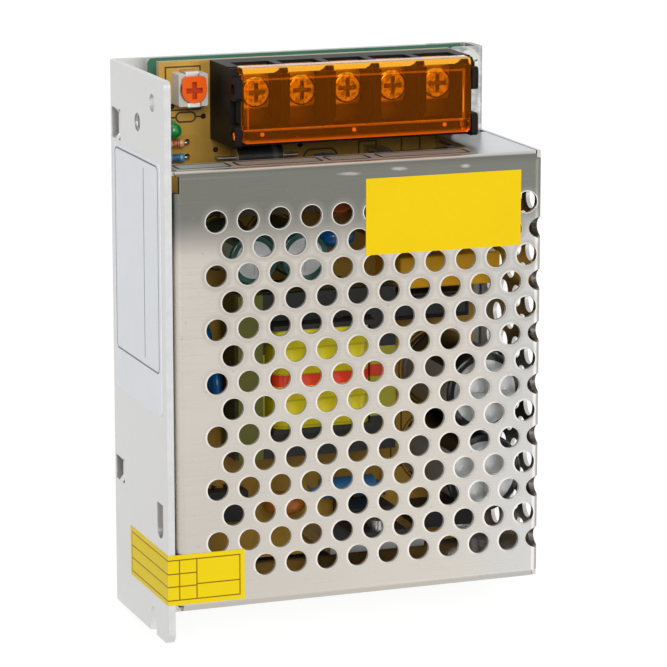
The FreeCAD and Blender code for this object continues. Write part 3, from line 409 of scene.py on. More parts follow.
@dataclass(frozen=True)
class Sheet(Finish):
    """Rolled sheet metal with grain and soft smears.

    Args:
        lay: the way its grain runs.
        mottle: how far its tone wanders, as a share.
        smear: size of its soft smears, in millimetres.
        grain_share: how much of the wandering tone follows the grain.
        grain_gloss: how far the grain changes the roughness.
        smear_gloss: how far the smears change it.
        grain_depth: depth of the grain, in millimetres.
    """

    lay: Lay = Lay.ALONG
    mottle: float = 0.08
    smear: Spot = (24.0, 32.0, 24.0)
    grain_share: float = 0.3
    grain_gloss: float = 0.16
    smear_gloss: float = 0.12
    grain_depth: float = 0.004

    def skin(self, graph: Graph) -> Skin:
        """Metal with a rolling grain that changes its gloss more than its colour.

        Args:
            graph: the material's node tree.

        Returns:
            The metal's skin.
        """
        grain = graph.noise(self.lay.value, 4.0)
        smear = graph.noise(self.smear, 2.0)
        tone = smear * (1 - self.grain_share) + grain * self.grain_share
        dark, light = toned(self.colour, 1 - 2 * self.mottle), toned(self.colour, 1 + self.mottle)
        rough = self.roughness + (grain - 0.5) * self.grain_gloss + (smear - 0.5) * self.smear_gloss
        return Skin(graph.blend(tone, dark, light), rough, 1.0, grain * self.grain_depth)


@dataclass(frozen=True)
class ChassisSheet(Sheet):
    """The chassis sheet, darker along the wall's cut edge, with painted shade in patches at the end beside
    the terminals.

    Args:
        cut: level of the wall's cut edge, in millimetres.
        corner: x and y from which the sheet beside the terminals carries the painted shade.
        dull: tone of the darker cut edge and of the painted shade.
        patch: size of the darker patches, in millimetres.
        cut_share: how much of that tone the cut edge takes.
        corner_shade_share: how much of it the corner takes.
    """

    cut: float = 36.0
    corner: tuple[float, float] = (28.0, 37.9)
    dull: Colour = (0.2, 0.2, 0.19)
    patch: float = 2.0
    cut_share: float = 0.3
    corner_shade_share: float = 0.75

    def skin(self, graph: Graph) -> Skin:
        """The sheet's own skin with its darker cut edge and painted shade.

        Args:
            graph: the material's node tree.

        Returns:
            The chassis's skin.
        """
        base = super().skin(graph)
        x, y, z = graph.axes()
        patch = graph.noise(self.patch)
        edge = (z > self.cut - 0.12) * (patch * self.cut_share)
        # Painted shade: dark patches on the sheet at the end beside the terminals.
        end = (x > self.corner[0]) & (y > self.corner[1]) & patch.eased(0.2, 0.65)
        base.colour = graph.blend(edge | end * self.corner_shade_share, base.colour, self.dull)
        return base


@dataclass(frozen=True)
class CoverSheet(Sheet):
    """The cover's bright sheet, with a painted dark reflection in a soft band beside the fold at the terminal
    end.

    Args:
        band: where along Y the band starts, is full, starts to fade and ends, in millimetres.
        band_share: how much of the band's own tone shows where it is full.
        wave: size of the waves in the band's fading side.
        wave_depth: how far they move it.
        painted_reflection_tone: tone of the painted dark reflection.
        flecks: bright gaps left in the painted reflection band, as middle x, middle y and half length.
        fleck_half: half of a mark's width.
        fleck_share: how much of the band a mark takes away.
        first: middle of the first vent hole.
        pitch: distance between vent holes along a row, and between every second row.
        columns: vent holes in a row that starts at the first hole.
        rows: rows of each of the two patterns, after its first.
        lead: pitches before the first hole from which the wrapped pattern is counted.
        margins: how far a pattern reaches past its last holes' middles, across and along.
        far: what is added to the distance outside a pattern.
        radius: radius of a vent hole.
        rim: width of the painted highlight round a hole.
        rim_highlight_tone: tone of that painted highlight.
        halo: where the darker ring round a hole starts to fade and ends, past its radius.
        halo_span: where along Y those rings come in.
        face: level of the sheet's outer face.
        thick: thickness of the sheet.
        shelf: level along Y from which the terminal shelf is cooler in tone.
        shelf_tone: tone of the shelf.
        low_span: where along Y the tone changes towards the end away from the terminals.
        low_tone: tone at that end.
        right_span: where along X the tone changes towards the side wall.
        right_tone: tone beside the side wall.
        fold_span: where along X the side wall's fold darkens with a painted reflection.
        fold_share: how much of the painted reflection tone the folds take.
        end_share: how much of the low and of the right tone shows where it is full.
        halo_share: how dark the rings round the holes are.
        cut: past a hole's radius, where its cut edge ends.
        lining_end: x from which a hole's cut edge is bright metal again.
        lining_dull: how far the cut edge elsewhere is from bare metal.
        roll: width of the rolled edge round a hole.
        roll_depth: depth of that edge.
        speck: size of the cells that hold one speck each.
        speck_reach: radius of a speck, in cells.
        speck_share: how dark a speck is.
    """

    band: tuple[float, float, float, float] = (37.45, 37.05, 29.0, 19.0)
    band_share: float = 0.97
    wave: Spot = (30.0, 9.0, 30.0)
    wave_depth: float = 3.0
    painted_reflection_tone: Colour = (0.16, 0.163, 0.142)
    flecks: tuple[tuple[float, float, float], ...] = ((-1.9, 35.5, 2.7), (8.3, 35.9, 1.9), (22.4, 35.65, 1.3))
    fleck_half: float = 0.36
    fleck_share: float = 0.6
    first: tuple[float, float] = (-28.7, 27.75)
    pitch: tuple[float, float] = (6.43, 10.514)
    columns: int = 11
    rows: int = 6
    lead: float = 20.5
    margins: tuple[float, float] = (3.2, 5.2)
    far: float = 50.0
    radius: float = 2.15
    rim: float = 0.13
    rim_highlight_tone: Colour = (0.86, 0.85, 0.83)
    halo: tuple[float, float] = (0.3, 1.5)
    halo_span: tuple[float, float] = (-30.0, 25.0)
    face: float = 36.0
    thick: float = 0.8
    shelf: float = 37.6
    shelf_tone: Colour = (0.5, 0.52, 0.54)
    low_span: tuple[float, float] = (-45.0, 5.0)
    low_tone: Colour = (0.515, 0.485, 0.437)
    right_span: tuple[float, float] = (18.0, 36.0)
    right_tone: Colour = (0.49, 0.487, 0.475)
    fold_span: tuple[float, float] = (37.9, 38.7)
    fold_share: float = 0.6
    end_share: float = 0.8
    halo_share: float = 0.4
    cut: float = 0.08
    lining_end: float = 37.2
    lining_dull: float = 0.85
    roll: float = 0.4
    roll_depth: float = 0.04
    speck: float = 3.0
    speck_reach: float = 0.07
    speck_share: float = 0.35

    def reach(self, x: Field, y: Field, shift: float) -> Field:
        """Distance to the middle of the nearest hole of one of the two staggered patterns.

        Args:
            x: place across.
            y: place along.
            shift: 0 for the pattern of the first hole, 0.5 for the other.

        Returns:
            The distance, and a large one outside the pattern.
        """
        across_pitch, along_pitch = self.pitch
        x0 = self.first[0] + across_pitch * shift
        y0 = self.first[1] - along_pitch * shift
        across = (x - (x0 - across_pitch * self.lead)).wrapped(across_pitch) - across_pitch / 2
        along = (y - (y0 - along_pitch * self.lead)).wrapped(along_pitch) - along_pitch / 2
        last_x = x0 + across_pitch * (self.columns - 1 - round(2 * shift))
        last_y = y0 - along_pitch * self.rows
        inside = x.between(x0 - self.margins[0], last_x + self.margins[0])
        inside = inside & y.between(last_y - self.margins[1], y0 + self.margins[1])
        return distance(across, along) + (1.0 - inside) * self.far

    def fleck_mask(self, graph: Graph, x: Field, y: Field) -> Field:
        """The bright flecks left out of the painted reflection band, with ragged sides.

        Args:
            graph: the material's node tree.
            x: place across.
            y: place along.

        Returns:
            A soft mask.
        """
        ragged = (graph.noise((2.2, 0.5, 2.2), 2.0) - 0.5) * 1.2
        marks = []
        for middle_x, middle_y, half in self.flecks:
            spot = distance((x - middle_x) / half, (y - middle_y) / self.fleck_half) + ragged
            marks.append(1.0 - spot.eased(0.25, 1.2))
        return united(marks)

    def skin(self, graph: Graph) -> Skin:
        """The sheet's own skin with the painted reflection band, painted highlights on the holes' rims and
        some dark specks.

        Args:
            graph: the material's node tree.

        Returns:
            The cover's skin.
        """
        base = super().skin(graph)
        x, y, z = graph.axes()
        upper = z > self.face - 1.5
        # Painted reflection: a dark band beside the fold at the terminal end, with bright flecks left out of
        # it.
        top, full, fading, end = self.band
        wave = (graph.noise(self.wave, 2.0) - 0.5) * self.wave_depth
        band = (y + wave * 0.1).eased(top, full) & (y + wave).eased(end, fading) & upper
        band = band * (1.0 - self.fleck_mask(graph, x, y) * self.fleck_share)
        reach = graph.math("MINIMUM", self.reach(x, y, 0.0), self.reach(x, y, 0.5))
        colour = graph.blend((1.0 - y.eased(*self.low_span)) * self.end_share, base.colour, self.low_tone)
        colour = graph.blend(x.eased(*self.right_span) * self.end_share, colour, self.right_tone)
        colour = graph.blend(band * self.band_share, colour, self.painted_reflection_tone)
        halo = 1.0 - reach.eased(self.radius + self.halo[0], self.radius + self.halo[1])
        halo = (halo & y.eased(*self.halo_span) & upper) * self.halo_share
        colour = graph.blend(halo, colour, toned(self.colour, 0.5))
        # Painted highlight: a bright rim round each hole, brighter inside the painted reflection band.
        rim = (reach < self.radius + self.rim) & upper
        colour = graph.blend(rim * (0.3 + band * 0.45), colour, self.rim_highlight_tone)
        cut = reach < self.radius + self.cut
        low_end = node_box("cover")[0].y
        # Painted reflection: the side wall's fold and the far end's fold darken towards the painted
        # reflection tone.
        fold = (x.eased(*self.fold_span) | (1.0 - y.eased(low_end + 0.05, low_end + 0.7))) & upper
        colour = graph.blend(fold * (1.0 - cut) * self.fold_share, colour, self.painted_reflection_tone)
        colour = graph.blend(y > self.shelf, colour, self.shelf_tone)
        specks = (graph.cells(self.speck) < self.speck_reach) * self.speck_share
        colour = graph.blend(specks, colour, toned(self.colour, 0.45))
        lining = cut & z.between(self.face - self.thick + 0.05, self.face - 0.04) & (x < self.lining_end)
        height = base.height - (1.0 - reach.eased(self.radius, self.radius + self.roll)) * self.roll_depth
        return Skin(colour, base.roughness, 1.0 - lining * self.lining_dull, height)


@dataclass(frozen=True)
class Moulded(Finish):
    """Moulded plastic or lacquer with a faint texture and cloudy gloss.

    Args:
        grain: size of the fine texture, in millimetres.
        bump: its depth.
        coat: weight of a clear coat.
        mottle: how far the tone wanders, as a share.
        gloss: strength of the reflections.
        cloud: size of the cloudy patches.
    """

    grain: float = 0.35
    bump: float = 0.01
    coat: float = 0.0
    mottle: float = 0.15
    gloss: float = 0.5
    cloud: float = 9.0

    def skin(self, graph: Graph) -> Skin:
        """Plastic whose colour and gloss wander a little.

        Args:
            graph: the material's node tree.

        Returns:
            The plastic's skin.
        """
        fine = graph.noise(self.grain)
        broad = graph.noise(self.cloud, 2.0)
        colour = graph.blend(broad, toned(self.colour, 1 - self.mottle), toned(self.colour, 1 + self.mottle))
        rough = self.roughness + (broad - 0.5) * 0.14 + (fine - 0.5) * 0.1
        fixed = {"Coat Weight": self.coat, "Specular IOR Level": self.gloss}
        return Skin(colour, rough, 0.0, fine * self.bump, fixed=fixed)


@dataclass(frozen=True)
class Rotor(Moulded):
    """The trimmer's rotor, with painted shade in its deeper screwdriver cross.

    Args:
        sunk: tone of the painted shade in the cross.
        level: height over which the face lies, in millimetres.
        rise: height over which the tone changes.
    """

    sunk: Colour = (0.5, 0.045, 0.002)
    level: float = 12.5
    rise: float = 0.4

    def skin(self, graph: Graph) -> Skin:
        """The moulding's skin with painted shade in the sunk cross.

        Args:
            graph: the material's node tree.

        Returns:
            The rotor's skin.
        """
        base = super().skin(graph)
        # Painted shade: below the face, in the cross, the rotor takes the darker tone.
        face = graph.axes()[2].eased(self.level, self.level + self.rise)
        base.colour = graph.blend(1.0 - face, base.colour, self.sunk)
        return base


@dataclass(frozen=True)
class ClearPlastic(Finish):
    """Tinted clear plastic or glass with faint flow lines.

    Args:
        clear: share of the light that goes through.
        gloss: strength of its reflections.
        sheen: tint of its reflections.
        index: refractive index.
        flow: size of the flow lines, in millimetres.
    """

    clear: float = 1.0
    gloss: float = 0.5
    sheen: Colour = (1.0, 1.0, 1.0)
    index: float = 1.49
    flow: Spot = (11.0, 3.0, 3.0)

    def skin(self, graph: Graph) -> Skin:
        """Clear tinted body with a slightly uneven skin.

        Args:
            graph: the material's node tree.

        Returns:
            The clear body's skin.
        """
        flow = graph.noise(self.flow, 2.0)
        fixed = {"Transmission Weight": self.clear, "IOR": self.index, "Specular IOR Level": self.gloss}
        fixed["Specular Tint"] = (*self.sheen, 1.0)
        return Skin(self.colour, self.roughness + flow * 0.05, 0.0, flow * 0.02, fixed=fixed)


@dataclass(frozen=True)
class FlapPlastic(ClearPlastic):
    """Amber plastic of the flap, with a painted glow along the edges of its sunk panel and on its rim.

    Args:
        panel: low x, low y, high x and high y of the sunk panel, in millimetres.
        painted_edge_glow: colour of the painted glow.
        glowing_gates: where along X the small mould marks of the lower rim are, which carry a painted glow.
        gate_setback: from the panel's low y to those marks.
        gate_radius: radius of a mark.
        face: level over which the flap's upper face lies.
        glow_out: how far the painted glow at the panel's edges reaches out.
        glow_in: how far it reaches in.
        dust_glow: size of the cells that each hold one speck with a painted glow.
    """

    panel: Sides = (-17.8, 42.9, 27.1, 52.6)
    painted_edge_glow: Colour = (0.8, 0.12, 0.002)
    glowing_gates: tuple[float, ...] = (-15.0, 4.0, 23.1)
    gate_setback: float = 0.9
    gate_radius: float = 0.42
    face: float = 22.9
    glow_out: float = 0.3
    glow_in: float = 0.15
    dust_glow: float = 2.6

    def skin(self, graph: Graph) -> Skin:
        """The plastic's skin with a painted glow on its edges, rim, mould marks and specks.

        Args:
            graph: the material's node tree.

        Returns:
            The flap's skin.
        """
        base = super().skin(graph)
        x, y, z = graph.axes()
        low_x, low_y, high_x, high_y = self.panel
        out, within, upper = self.glow_out, self.glow_in, z > self.face
        wide = x.between(low_x - out, high_x + out) & y.between(low_y - out, high_y + out)
        narrow = x.between(low_x + within, high_x - within) & y.between(low_y + within, high_y - within)
        low, high = node_box("terminal_flap")
        ends = (1.0 - x.eased(low.x, low.x + 0.6)) | x.eased(high.x - 1.1, high.x)
        rim = (1.0 - y.eased(low.y, low.y + 0.8)) | ends
        row = low_y - self.gate_setback
        marks = united([distance(x - gate, y - row) < self.gate_radius for gate in self.glowing_gates])
        dust_glow = (graph.cells(self.dust_glow) < 0.05) & upper
        # Painted glow: the panel's edges, the rim, the mould marks and the specks emit the edge colour,
        # though the flap is no lamp.
        painted_glow = ((wide - narrow) & upper) * 0.32 | rim * 0.3 | (marks & upper) * 0.9 | dust_glow * 0.2
        base.glow = graph.blend(painted_glow, (0.0, 0.0, 0.0), self.painted_edge_glow)
        return base


@dataclass(frozen=True)
class Plated(Finish):
    """Plated small metal parts with fine tool marks and dull patches.

    Args:
        dull: how far the patches change the roughness.
        patch: size of the patches, in millimetres.
        bump: their depth.
    """

    dull: float = 0.15
    patch: float = 1.4
    bump: float = 0.01

    def skin(self, graph: Graph) -> Skin:
        """Metal with uneven plating.

        Args:
            graph: the material's node tree.

        Returns:
            The plating's skin.
        """
        patch = graph.noise(self.patch)
        colour = graph.blend(patch, toned(self.colour, 0.8), self.colour)
        return Skin(colour, self.roughness + (patch - 0.5) * self.dull, 1.0, patch * self.bump)


@dataclass(frozen=True)
class ContactPlate(Plated):
    """Plated contact plates with painted shade beyond the clamps, where they go down into the moulding.

    Args:
        edge: place along Y under which a plate is dark, in millimetres.
        shade: tone of the painted shade.
    """

    edge: float = 45.0
    shade: Colour = (0.03, 0.022, 0.012)

    def skin(self, graph: Graph) -> Skin:
        """The plating's skin with painted shade at its end.

        Args:
            graph: the material's node tree.

        Returns:
            The plates' skin.
        """
        base = super().skin(graph)
        ragged = (graph.noise(1.2, 2.0) - 0.5) * 0.3
        # Painted shade: the plates darken beyond the clamps.
        dark = 1.0 - (graph.axes()[1] + ragged).eased(self.edge - 0.3, self.edge + 0.3)
        base.colour = graph.blend(dark * 0.92, base.colour, self.shade)
        return base


@dataclass(frozen=True)
class ScrewHead(Plated):
    """Plated screw heads with painted shade in the recess and on the skirt, and painted dark reflections in
    patches.

    Args:
        level: height of the recess's floor, in millimetres.
        shade: tone of the painted shade and of the painted dark reflections.
        dark_reflection_size: size of the patches of painted dark reflection.
    """

    level: float = 16.7
    shade: Colour = (0.1, 0.08, 0.04)
    dark_reflection_size: float = 0.9

    def skin(self, graph: Graph) -> Skin:
        """The plating's skin, with painted shade below the head's top and painted dark reflections in
        patches.

        Args:
            graph: the material's node tree.

        Returns:
            The heads' skin.
        """
        base = super().skin(graph)
        # Painted shade: the recess and the skirt, below the head's top, take the dark tone.
        sunk = 1.0 - graph.axes()[2].eased(self.level - 0.3, self.level + 0.15)
        colour = graph.blend(sunk * 0.85, base.colour, self.shade)
        # Painted reflection: dark patches over the head.
        dark_reflection = graph.noise(self.dark_reflection_size, 2.0).eased(0.45, 0.6)
        base.colour = graph.blend(dark_reflection * 0.6, colour, self.shade)
        return base


@dataclass(frozen=True)
class Ferrite(Finish):
    """Sintered core material with pits and ground faces.

    Args:
        grain: size of its grains, in millimetres.
        pit: size of the cells that hold one pit each.
        pit_tone: tone in the pits.
    """

    grain: float = 0.5
    pit: float = 1.1
    pit_tone: Colour = (0.008, 0.008, 0.008)

    def skin(self, graph: Graph) -> Skin:
        """Dark grey grains with small pits.

        Args:
            graph: the material's node tree.

        Returns:
            The core's skin.
        """
        grains = graph.noise(self.grain, 5.0)
        pits = graph.cells(self.pit) < 0.12
        colour = graph.blend(grains, toned(self.colour, 0.7), toned(self.colour, 1.5))
        colour = graph.blend(pits * 0.7, colour, self.pit_tone)
        return Skin(colour, self.roughness + (grains - 0.5) * 0.3, 0.0, grains * 0.03 - pits * 0.03)


@dataclass(frozen=True)
class WrappedCore(Ferrite):
    """A core with thin tape wound round its middle.

    Args:
        tape: tone of the tape.
        stripe: tone of the tape's marked stripe.
        span: where the tape starts and ends along Y, in millimetres.
        stripe_span: where the stripe starts and ends along Y.
        side: x under which the core is wholly taped.
        shaded_side_tone: tone of the tape there, a darker copy of the tape as painted shade.
        tape_gloss: how much smoother the tape is than the core.
        tape_thick: thickness of the tape.
    """

    tape: Colour = (0.55, 0.52, 0.03)
    stripe: Colour = (0.8, 0.05, 0.01)
    span: tuple[float, float] = (-15.6, -1.5)
    stripe_span: tuple[float, float] = (-7.5, -5.1)
    side: float = -15.4
    shaded_side_tone: Colour = (0.16, 0.17, 0.02)
    tape_gloss: float = 0.25
    tape_thick: float = 0.08

    def skin(self, graph: Graph) -> Skin:
        """Ferrite with the tape over it.

        Args:
            graph: the material's node tree.

        Returns:
            The wrapped core's skin.
        """
        base = super().skin(graph)
        x, y, _ = graph.axes()
        ragged = (graph.noise(1.5, 2.0) - 0.5) * 0.4
        tape = (y + ragged * 0.3).between(*self.span)
        mark = (y + ragged).between(*self.stripe_span)
        over = graph.blend(graph.noise(3.0), toned(self.tape, 0.75), self.tape)
        over = graph.blend(mark, over, self.stripe)
        # Painted shade: the taped side past x side takes a dark olive copy of the tape.
        beside = x < self.side
        colour = graph.blend(beside, graph.blend(tape, base.colour, over), self.shaded_side_tone)
        tape = tape | beside
        height = base.height * (1.0 - tape) + tape * self.tape_thick
        return Skin(colour, base.roughness - tape * self.tape_gloss, 0.0, height)


@dataclass(frozen=True)
class Tape(Finish):
    """Glossy winding tape: overlapped turns, with or without a marked stripe.

    Args:
        stripe: colour of the marked stripe, or None.
        span: where the stripe starts and ends along Y, in millimetres.
        turn: width of one turn of tape.
        lap: width of the dark line at a turn's edge.
        coat: weight of the clear coat.
    """

    stripe: Colour | None = None
    span: tuple[float, float] = (-6.0, -3.0)
    turn: float = 5.2
    lap: float = 0.35
    coat: float = 0.4

    def skin(self, graph: Graph) -> Skin:
        """Tape turns whose edges show as fine steps.

        Args:
            graph: the material's node tree.

        Returns:
            The tape's skin.
        """
        y = graph.axes()[1]
        place = y.wrapped(self.turn)
        cloud = graph.noise(3.0)
        colour = graph.blend(cloud, toned(self.colour, 0.82), self.colour)
        if self.stripe is not None:
            ragged = (graph.noise(1.5, 2.0) - 0.5) * 0.5
            colour = graph.blend((y + ragged).between(*self.span), colour, self.stripe)
        colour = graph.blend((place < self.lap) * 0.45, colour, toned(self.colour, 0.4))
        rough = self.roughness + (cloud - 0.5) * 0.1
        return Skin(colour, rough, 0.0, place * 0.02, fixed={"Coat Weight": self.coat})


@dataclass(frozen=True)
class Laminate(Finish):
    """The board: pale tan laminate with printed part outlines, tracks that shine through and a cut edge.

    Args:
        ink: colour of the printed outlines.
        edge: colour of the cut edge and the underside.
        boxes: printed rectangles.
        pills: printed outlines with round ends.
        lines: printed lines along X as start, end and place along Y, in millimetres.
        rings: printed rings as centre x, centre y and radius.
        box_line: width of the rectangles' lines.
        line: width of the other lines.
        ring_line: width of the rings' lines.
        flux_and_shade: tone of the board beside the terminal block, darkened there by soldering residue and
            by painted shade.
        flux_and_shade_place: where that darkening lies.
        flux_and_shade_fade: where along Y it fades.
        flux_and_shade_share: how much of it shows.
        track: size of the tracks that shine through.
        track_share: how much darker they are.
        gloss: strength of its reflections.
    """

    ink: Colour = (0.012, 0.012, 0.012)
    edge: Colour = (0.42, 0.36, 0.2)
    boxes: tuple[Sides, ...] = (
        (-29.8, 45.1, -22.35, 53.95), (-14.6, 33.9, -6.2, 37.3), (10.7, 33.6, 14.75, 37.2),
        (19.9, 31.0, 24.2, 37.6), (-9.5, 40.4, -2.2, 42.6), (5.6, 40.4, 9.2, 42.9),
        (-33.6, -31.5, -29.8, -18.0), (17.8, -31.0, 20.4, -18.5),
    )
    pills: tuple[Sides, ...] = (
        (-27.7, 42.7, -23.4, 44.95), (-1.1, 32.3, 6.4, 36.15), (-30.0, 8.3, -26.0, 10.7),
    )
    lines: tuple[tuple[float, float, float], ...] = (
        (-28.9, -27.7, 43.8), (-23.4, -22.4, 43.8), (-22.35, -21.3, 51.8), (-15.8, -14.6, 35.6),
    )
    rings: tuple[tuple[float, float, float], ...] = (
        (-18.5, 18.4, 5.6), (-8.1, 18.4, 5.6), (28.2, -10.6, 8.5), (28.2, -27.2, 8.5),
    )
    box_line: float = 0.32
    line: float = 0.34
    ring_line: float = 0.26
    flux_and_shade: Colour = (0.12, 0.06, 0.006)
    flux_and_shade_place: Sides = (-26.5, 34.0, -20.5, 54.5)
    flux_and_shade_fade: tuple[float, float] = (38.0, 54.0)
    flux_and_shade_share: float = 0.6
    track: Spot = (5.0, 7.0, 5.0)
    track_share: float = 0.22
    gloss: float = 0.22

    def box(self, x: Field, y: Field, sides: Sides) -> Field:
        """A printed rectangle.

        Args:
            x: place across.
            y: place along.
            sides: its outer sides.

        Returns:
            A mask of the line.
        """
        low_x, low_y, high_x, high_y = sides
        line = self.box_line
        outer = x.between(low_x, high_x) & y.between(low_y, high_y)
        return outer - (x.between(low_x + line, high_x - line) & y.between(low_y + line, high_y - line))

    def prints(self, x: Field, y: Field) -> Field:
        """Everything printed on the board.

        Args:
            x: place across.
            y: place along.

        Returns:
            A mask of the ink.
        """
        made = [self.box(x, y, sides) for sides in self.boxes]
        for sides in self.pills:
            made.append(outline(x, y, sides, (sides[3] - sides[1]) / 2, self.line))
        for start, end, row in self.lines:
            made.append(x.between(start, end) & y.near(row, self.line / 2))
        for centre_x, centre_y, radius in self.rings:
            made.append(distance(x - centre_x, y - centre_y).near(radius, self.ring_line / 2))
        return united(made)

    def skin(self, graph: Graph) -> Skin:
        """Laminate with weave, tracks that shine through and ink.

        Args:
            graph: the material's node tree.

        Returns:
            The board's skin.
        """
        x, y, z = graph.axes()
        weave = graph.noise(0.8)
        cloud = graph.noise(14.0)
        colour = graph.blend(cloud * 0.6 + weave * 0.4, toned(self.colour, 0.8), self.colour)
        tracks = graph.noise(self.track, 0.0).eased(0.56, 0.58)
        colour = graph.blend(tracks * self.track_share, colour, toned(self.colour, 0.55))
        # Painted shade beside the terminal block, together with soldering residue.
        start_x, low_y, full_x, high_y = self.flux_and_shade_place
        stain_and_shade = x.eased(start_x, full_x) & y.between(low_y, high_y) & (1.0 - y.eased(*self.flux_and_shade_fade) * 0.6)
        colour = graph.blend(stain_and_shade * self.flux_and_shade_share, colour, self.flux_and_shade)
        prints = self.prints(x, y)
        colour = graph.blend(prints * 0.9, colour, self.ink)
        colour = graph.blend(z < BOARD_TOP - 0.05, colour, self.edge)
        height = weave * 0.006 + prints * 0.01
        rough = self.roughness + (weave - 0.5) * 0.12
        return Skin(colour, rough, 0.0, height, fixed={"Specular IOR Level": self.gloss})


@dataclass(frozen=True)
class Film(Finish):
    """A satin paper or polyester label with a faint pulp.

    Args:
        ink: colour of its ruled lines.
        gloss: strength of its reflections.
        pulp: size of the pulp, in millimetres.
        cloud: size of the cloudy patches.
        ink_share: how much the ink covers.
    """

    ink: Colour = (0.03, 0.03, 0.035)
    gloss: float = 0.3
    pulp: float = 1.2
    cloud: float = 12.0
    ink_share: float = 0.92

    def marks(self, graph: Graph) -> Field | None:
        """A mask of the ruled lines, or None on a bare label."""
        return None

    def skin(self, graph: Graph) -> Skin:
        """Coated paper that wanders a little in tone.

        Args:
            graph: the material's node tree.

        Returns:
            The film's skin.
        """
        pulp = graph.noise(self.pulp, 4.0)
        cloud = graph.noise(self.cloud, 2.0)
        colour = graph.blend(cloud * 0.6 + pulp * 0.4, toned(self.colour, 0.9), self.colour)
        marks = self.marks(graph)
        if marks is not None:
            colour = graph.blend(marks * self.ink_share, colour, self.ink)
        rough = self.roughness + (pulp - 0.5) * 0.12
        return Skin(colour, rough, 0.0, pulp * 0.008, fixed={"Specular IOR Level": self.gloss})


@dataclass(frozen=True)
class RatingFilm(Film):
    """The wall label: a thin ruled frame with round corners and one ruled line, blank inside.

    Args:
        margins: from the label's edges to the frame, at its low y, low z, high y and high z.
        corner: radius of the frame's corners, in millimetres.
        line: width of the ruled lines.
        rule_at: share of the frame's height at which the ruled line runs.
        rule_gap: from the frame to the ruled line's ends.
    """

    margins: Sides = (8.2, 1.3, 0.7, 1.2)
    corner: float = 1.3
    line: float = 0.34
    rule_at: float = 0.67
    rule_gap: float = 1.6

    def marks(self, graph: Graph) -> Field:
        """The frame and the ruled line.

        Args:
            graph: the material's node tree.

        Returns:
            A mask of the ink.
        """
        _, y, z = graph.axes()
        low, high = node_box("side_label")
        start, foot = low.y + self.margins[0], low.z + self.margins[1]
        end, head = high.y - self.margins[2], high.z - self.margins[3]
        drawn = outline(y, z, (start, foot, end, head), self.corner, self.line)
        rule = z.near(foot + (head - foot) * self.rule_at, self.line / 2)
        return drawn | (rule & y.between(start + self.rule_gap, end - self.rule_gap))


@dataclass(frozen=True)
class DateFilm(Film):
    """The folded sticker: a plain ruled table that runs over the corner.

    Args:
        margin: from the sticker's edges to the table, in millimetres.
        columns: where the table's columns end, as shares of its part on the cover.
        rows: where its narrow rows end, as shares of its height.
        wide_row: where the row of the widest cell ends, as a share of its height.
        line: width of the ruled lines.
    """

    margin: float = 1.0
    columns: tuple[float, float] = (0.16, 0.4)
    rows: tuple[float, float] = (0.34, 0.66)
    wide_row: float = 0.37
    line: float = 0.24

    def marks(self, graph: Graph) -> Field:
        """The table's lines, ruled along the sticker's unrolled length.

        Args:
            graph: the material's node tree.

        Returns:
            A mask of the ink.
        """
        x, y, z = graph.axes()
        low, high = node_box("date_label")
        half = self.line / 2
        along = (x - low.x) + (z - high.z)
        start, end = low.z - high.z + self.margin, high.x - low.x - self.margin
        foot, head = low.y + self.margin, high.y - self.margin
        wide_start = end * self.columns[1]
        lines = [y.near(foot, half), y.near(head, half), along.near(start, half), along.near(end, half)]
        lines += [along.near(end * share, half) for share in self.columns]
        for share in self.rows:
            lines.append(y.near(foot + (head - foot) * share, half) & (along < wide_start))
        lines.append(y.near(foot + (head - foot) * self.wide_row, half) & (along > wide_start))
        inside = along.between(start - half, end + half) & y.between(foot - half, head + half)
        return united(lines) & inside


@dataclass(frozen=True)
class TerminalFilm(Film):
    """The strip above the terminals: a row of outlines with round corners, left blank inside.

    Args:
        frames: where each outline starts and ends along X, in millimetres.
        rows: its lower and upper line along Z.
        corner: radius of the outlines' corners.
        line: width of their lines.
        pale: tone of the strip's left end.
        pale_span: where along X that tone ends.
        pale_share: how much of it shows at the end.
    """

    frames: tuple[tuple[float, float], ...] = ((-35.2, -24.2), (-23.0, -5.6), (-4.5, 4.3), (6.1, 25.0))
    rows: tuple[float, float] = (27.7, 33.1)
    corner: float = 1.1
    line: float = 0.6
    pale: Colour = (0.42, 0.47, 0.45)
    pale_span: tuple[float, float] = (-35.0, -20.0)
    pale_share: float = 0.75

    def marks(self, graph: Graph) -> Field:
        """Outlines with rounded corners, side by side.

        Args:
            graph: the material's node tree.

        Returns:
            A mask of the ink.
        """
        x, _, z = graph.axes()
        low, high = self.rows
        drawn = [outline(x, z, (start, low, end, high), self.corner, self.line) for start, end in self.frames]
        return united(drawn)

    def skin(self, graph: Graph) -> Skin:
        """The film's skin, paler towards its left end.

        Args:
            graph: the material's node tree.

        Returns:
            The strip's skin.
        """
        base = super().skin(graph)
        pale = (1.0 - graph.axes()[0].eased(*self.pale_span)) * self.pale_share
        colour = graph.blend(pale, base.colour, self.pale)
        base.colour = graph.blend(self.marks(graph) * self.ink_share, colour, self.ink)
        return base


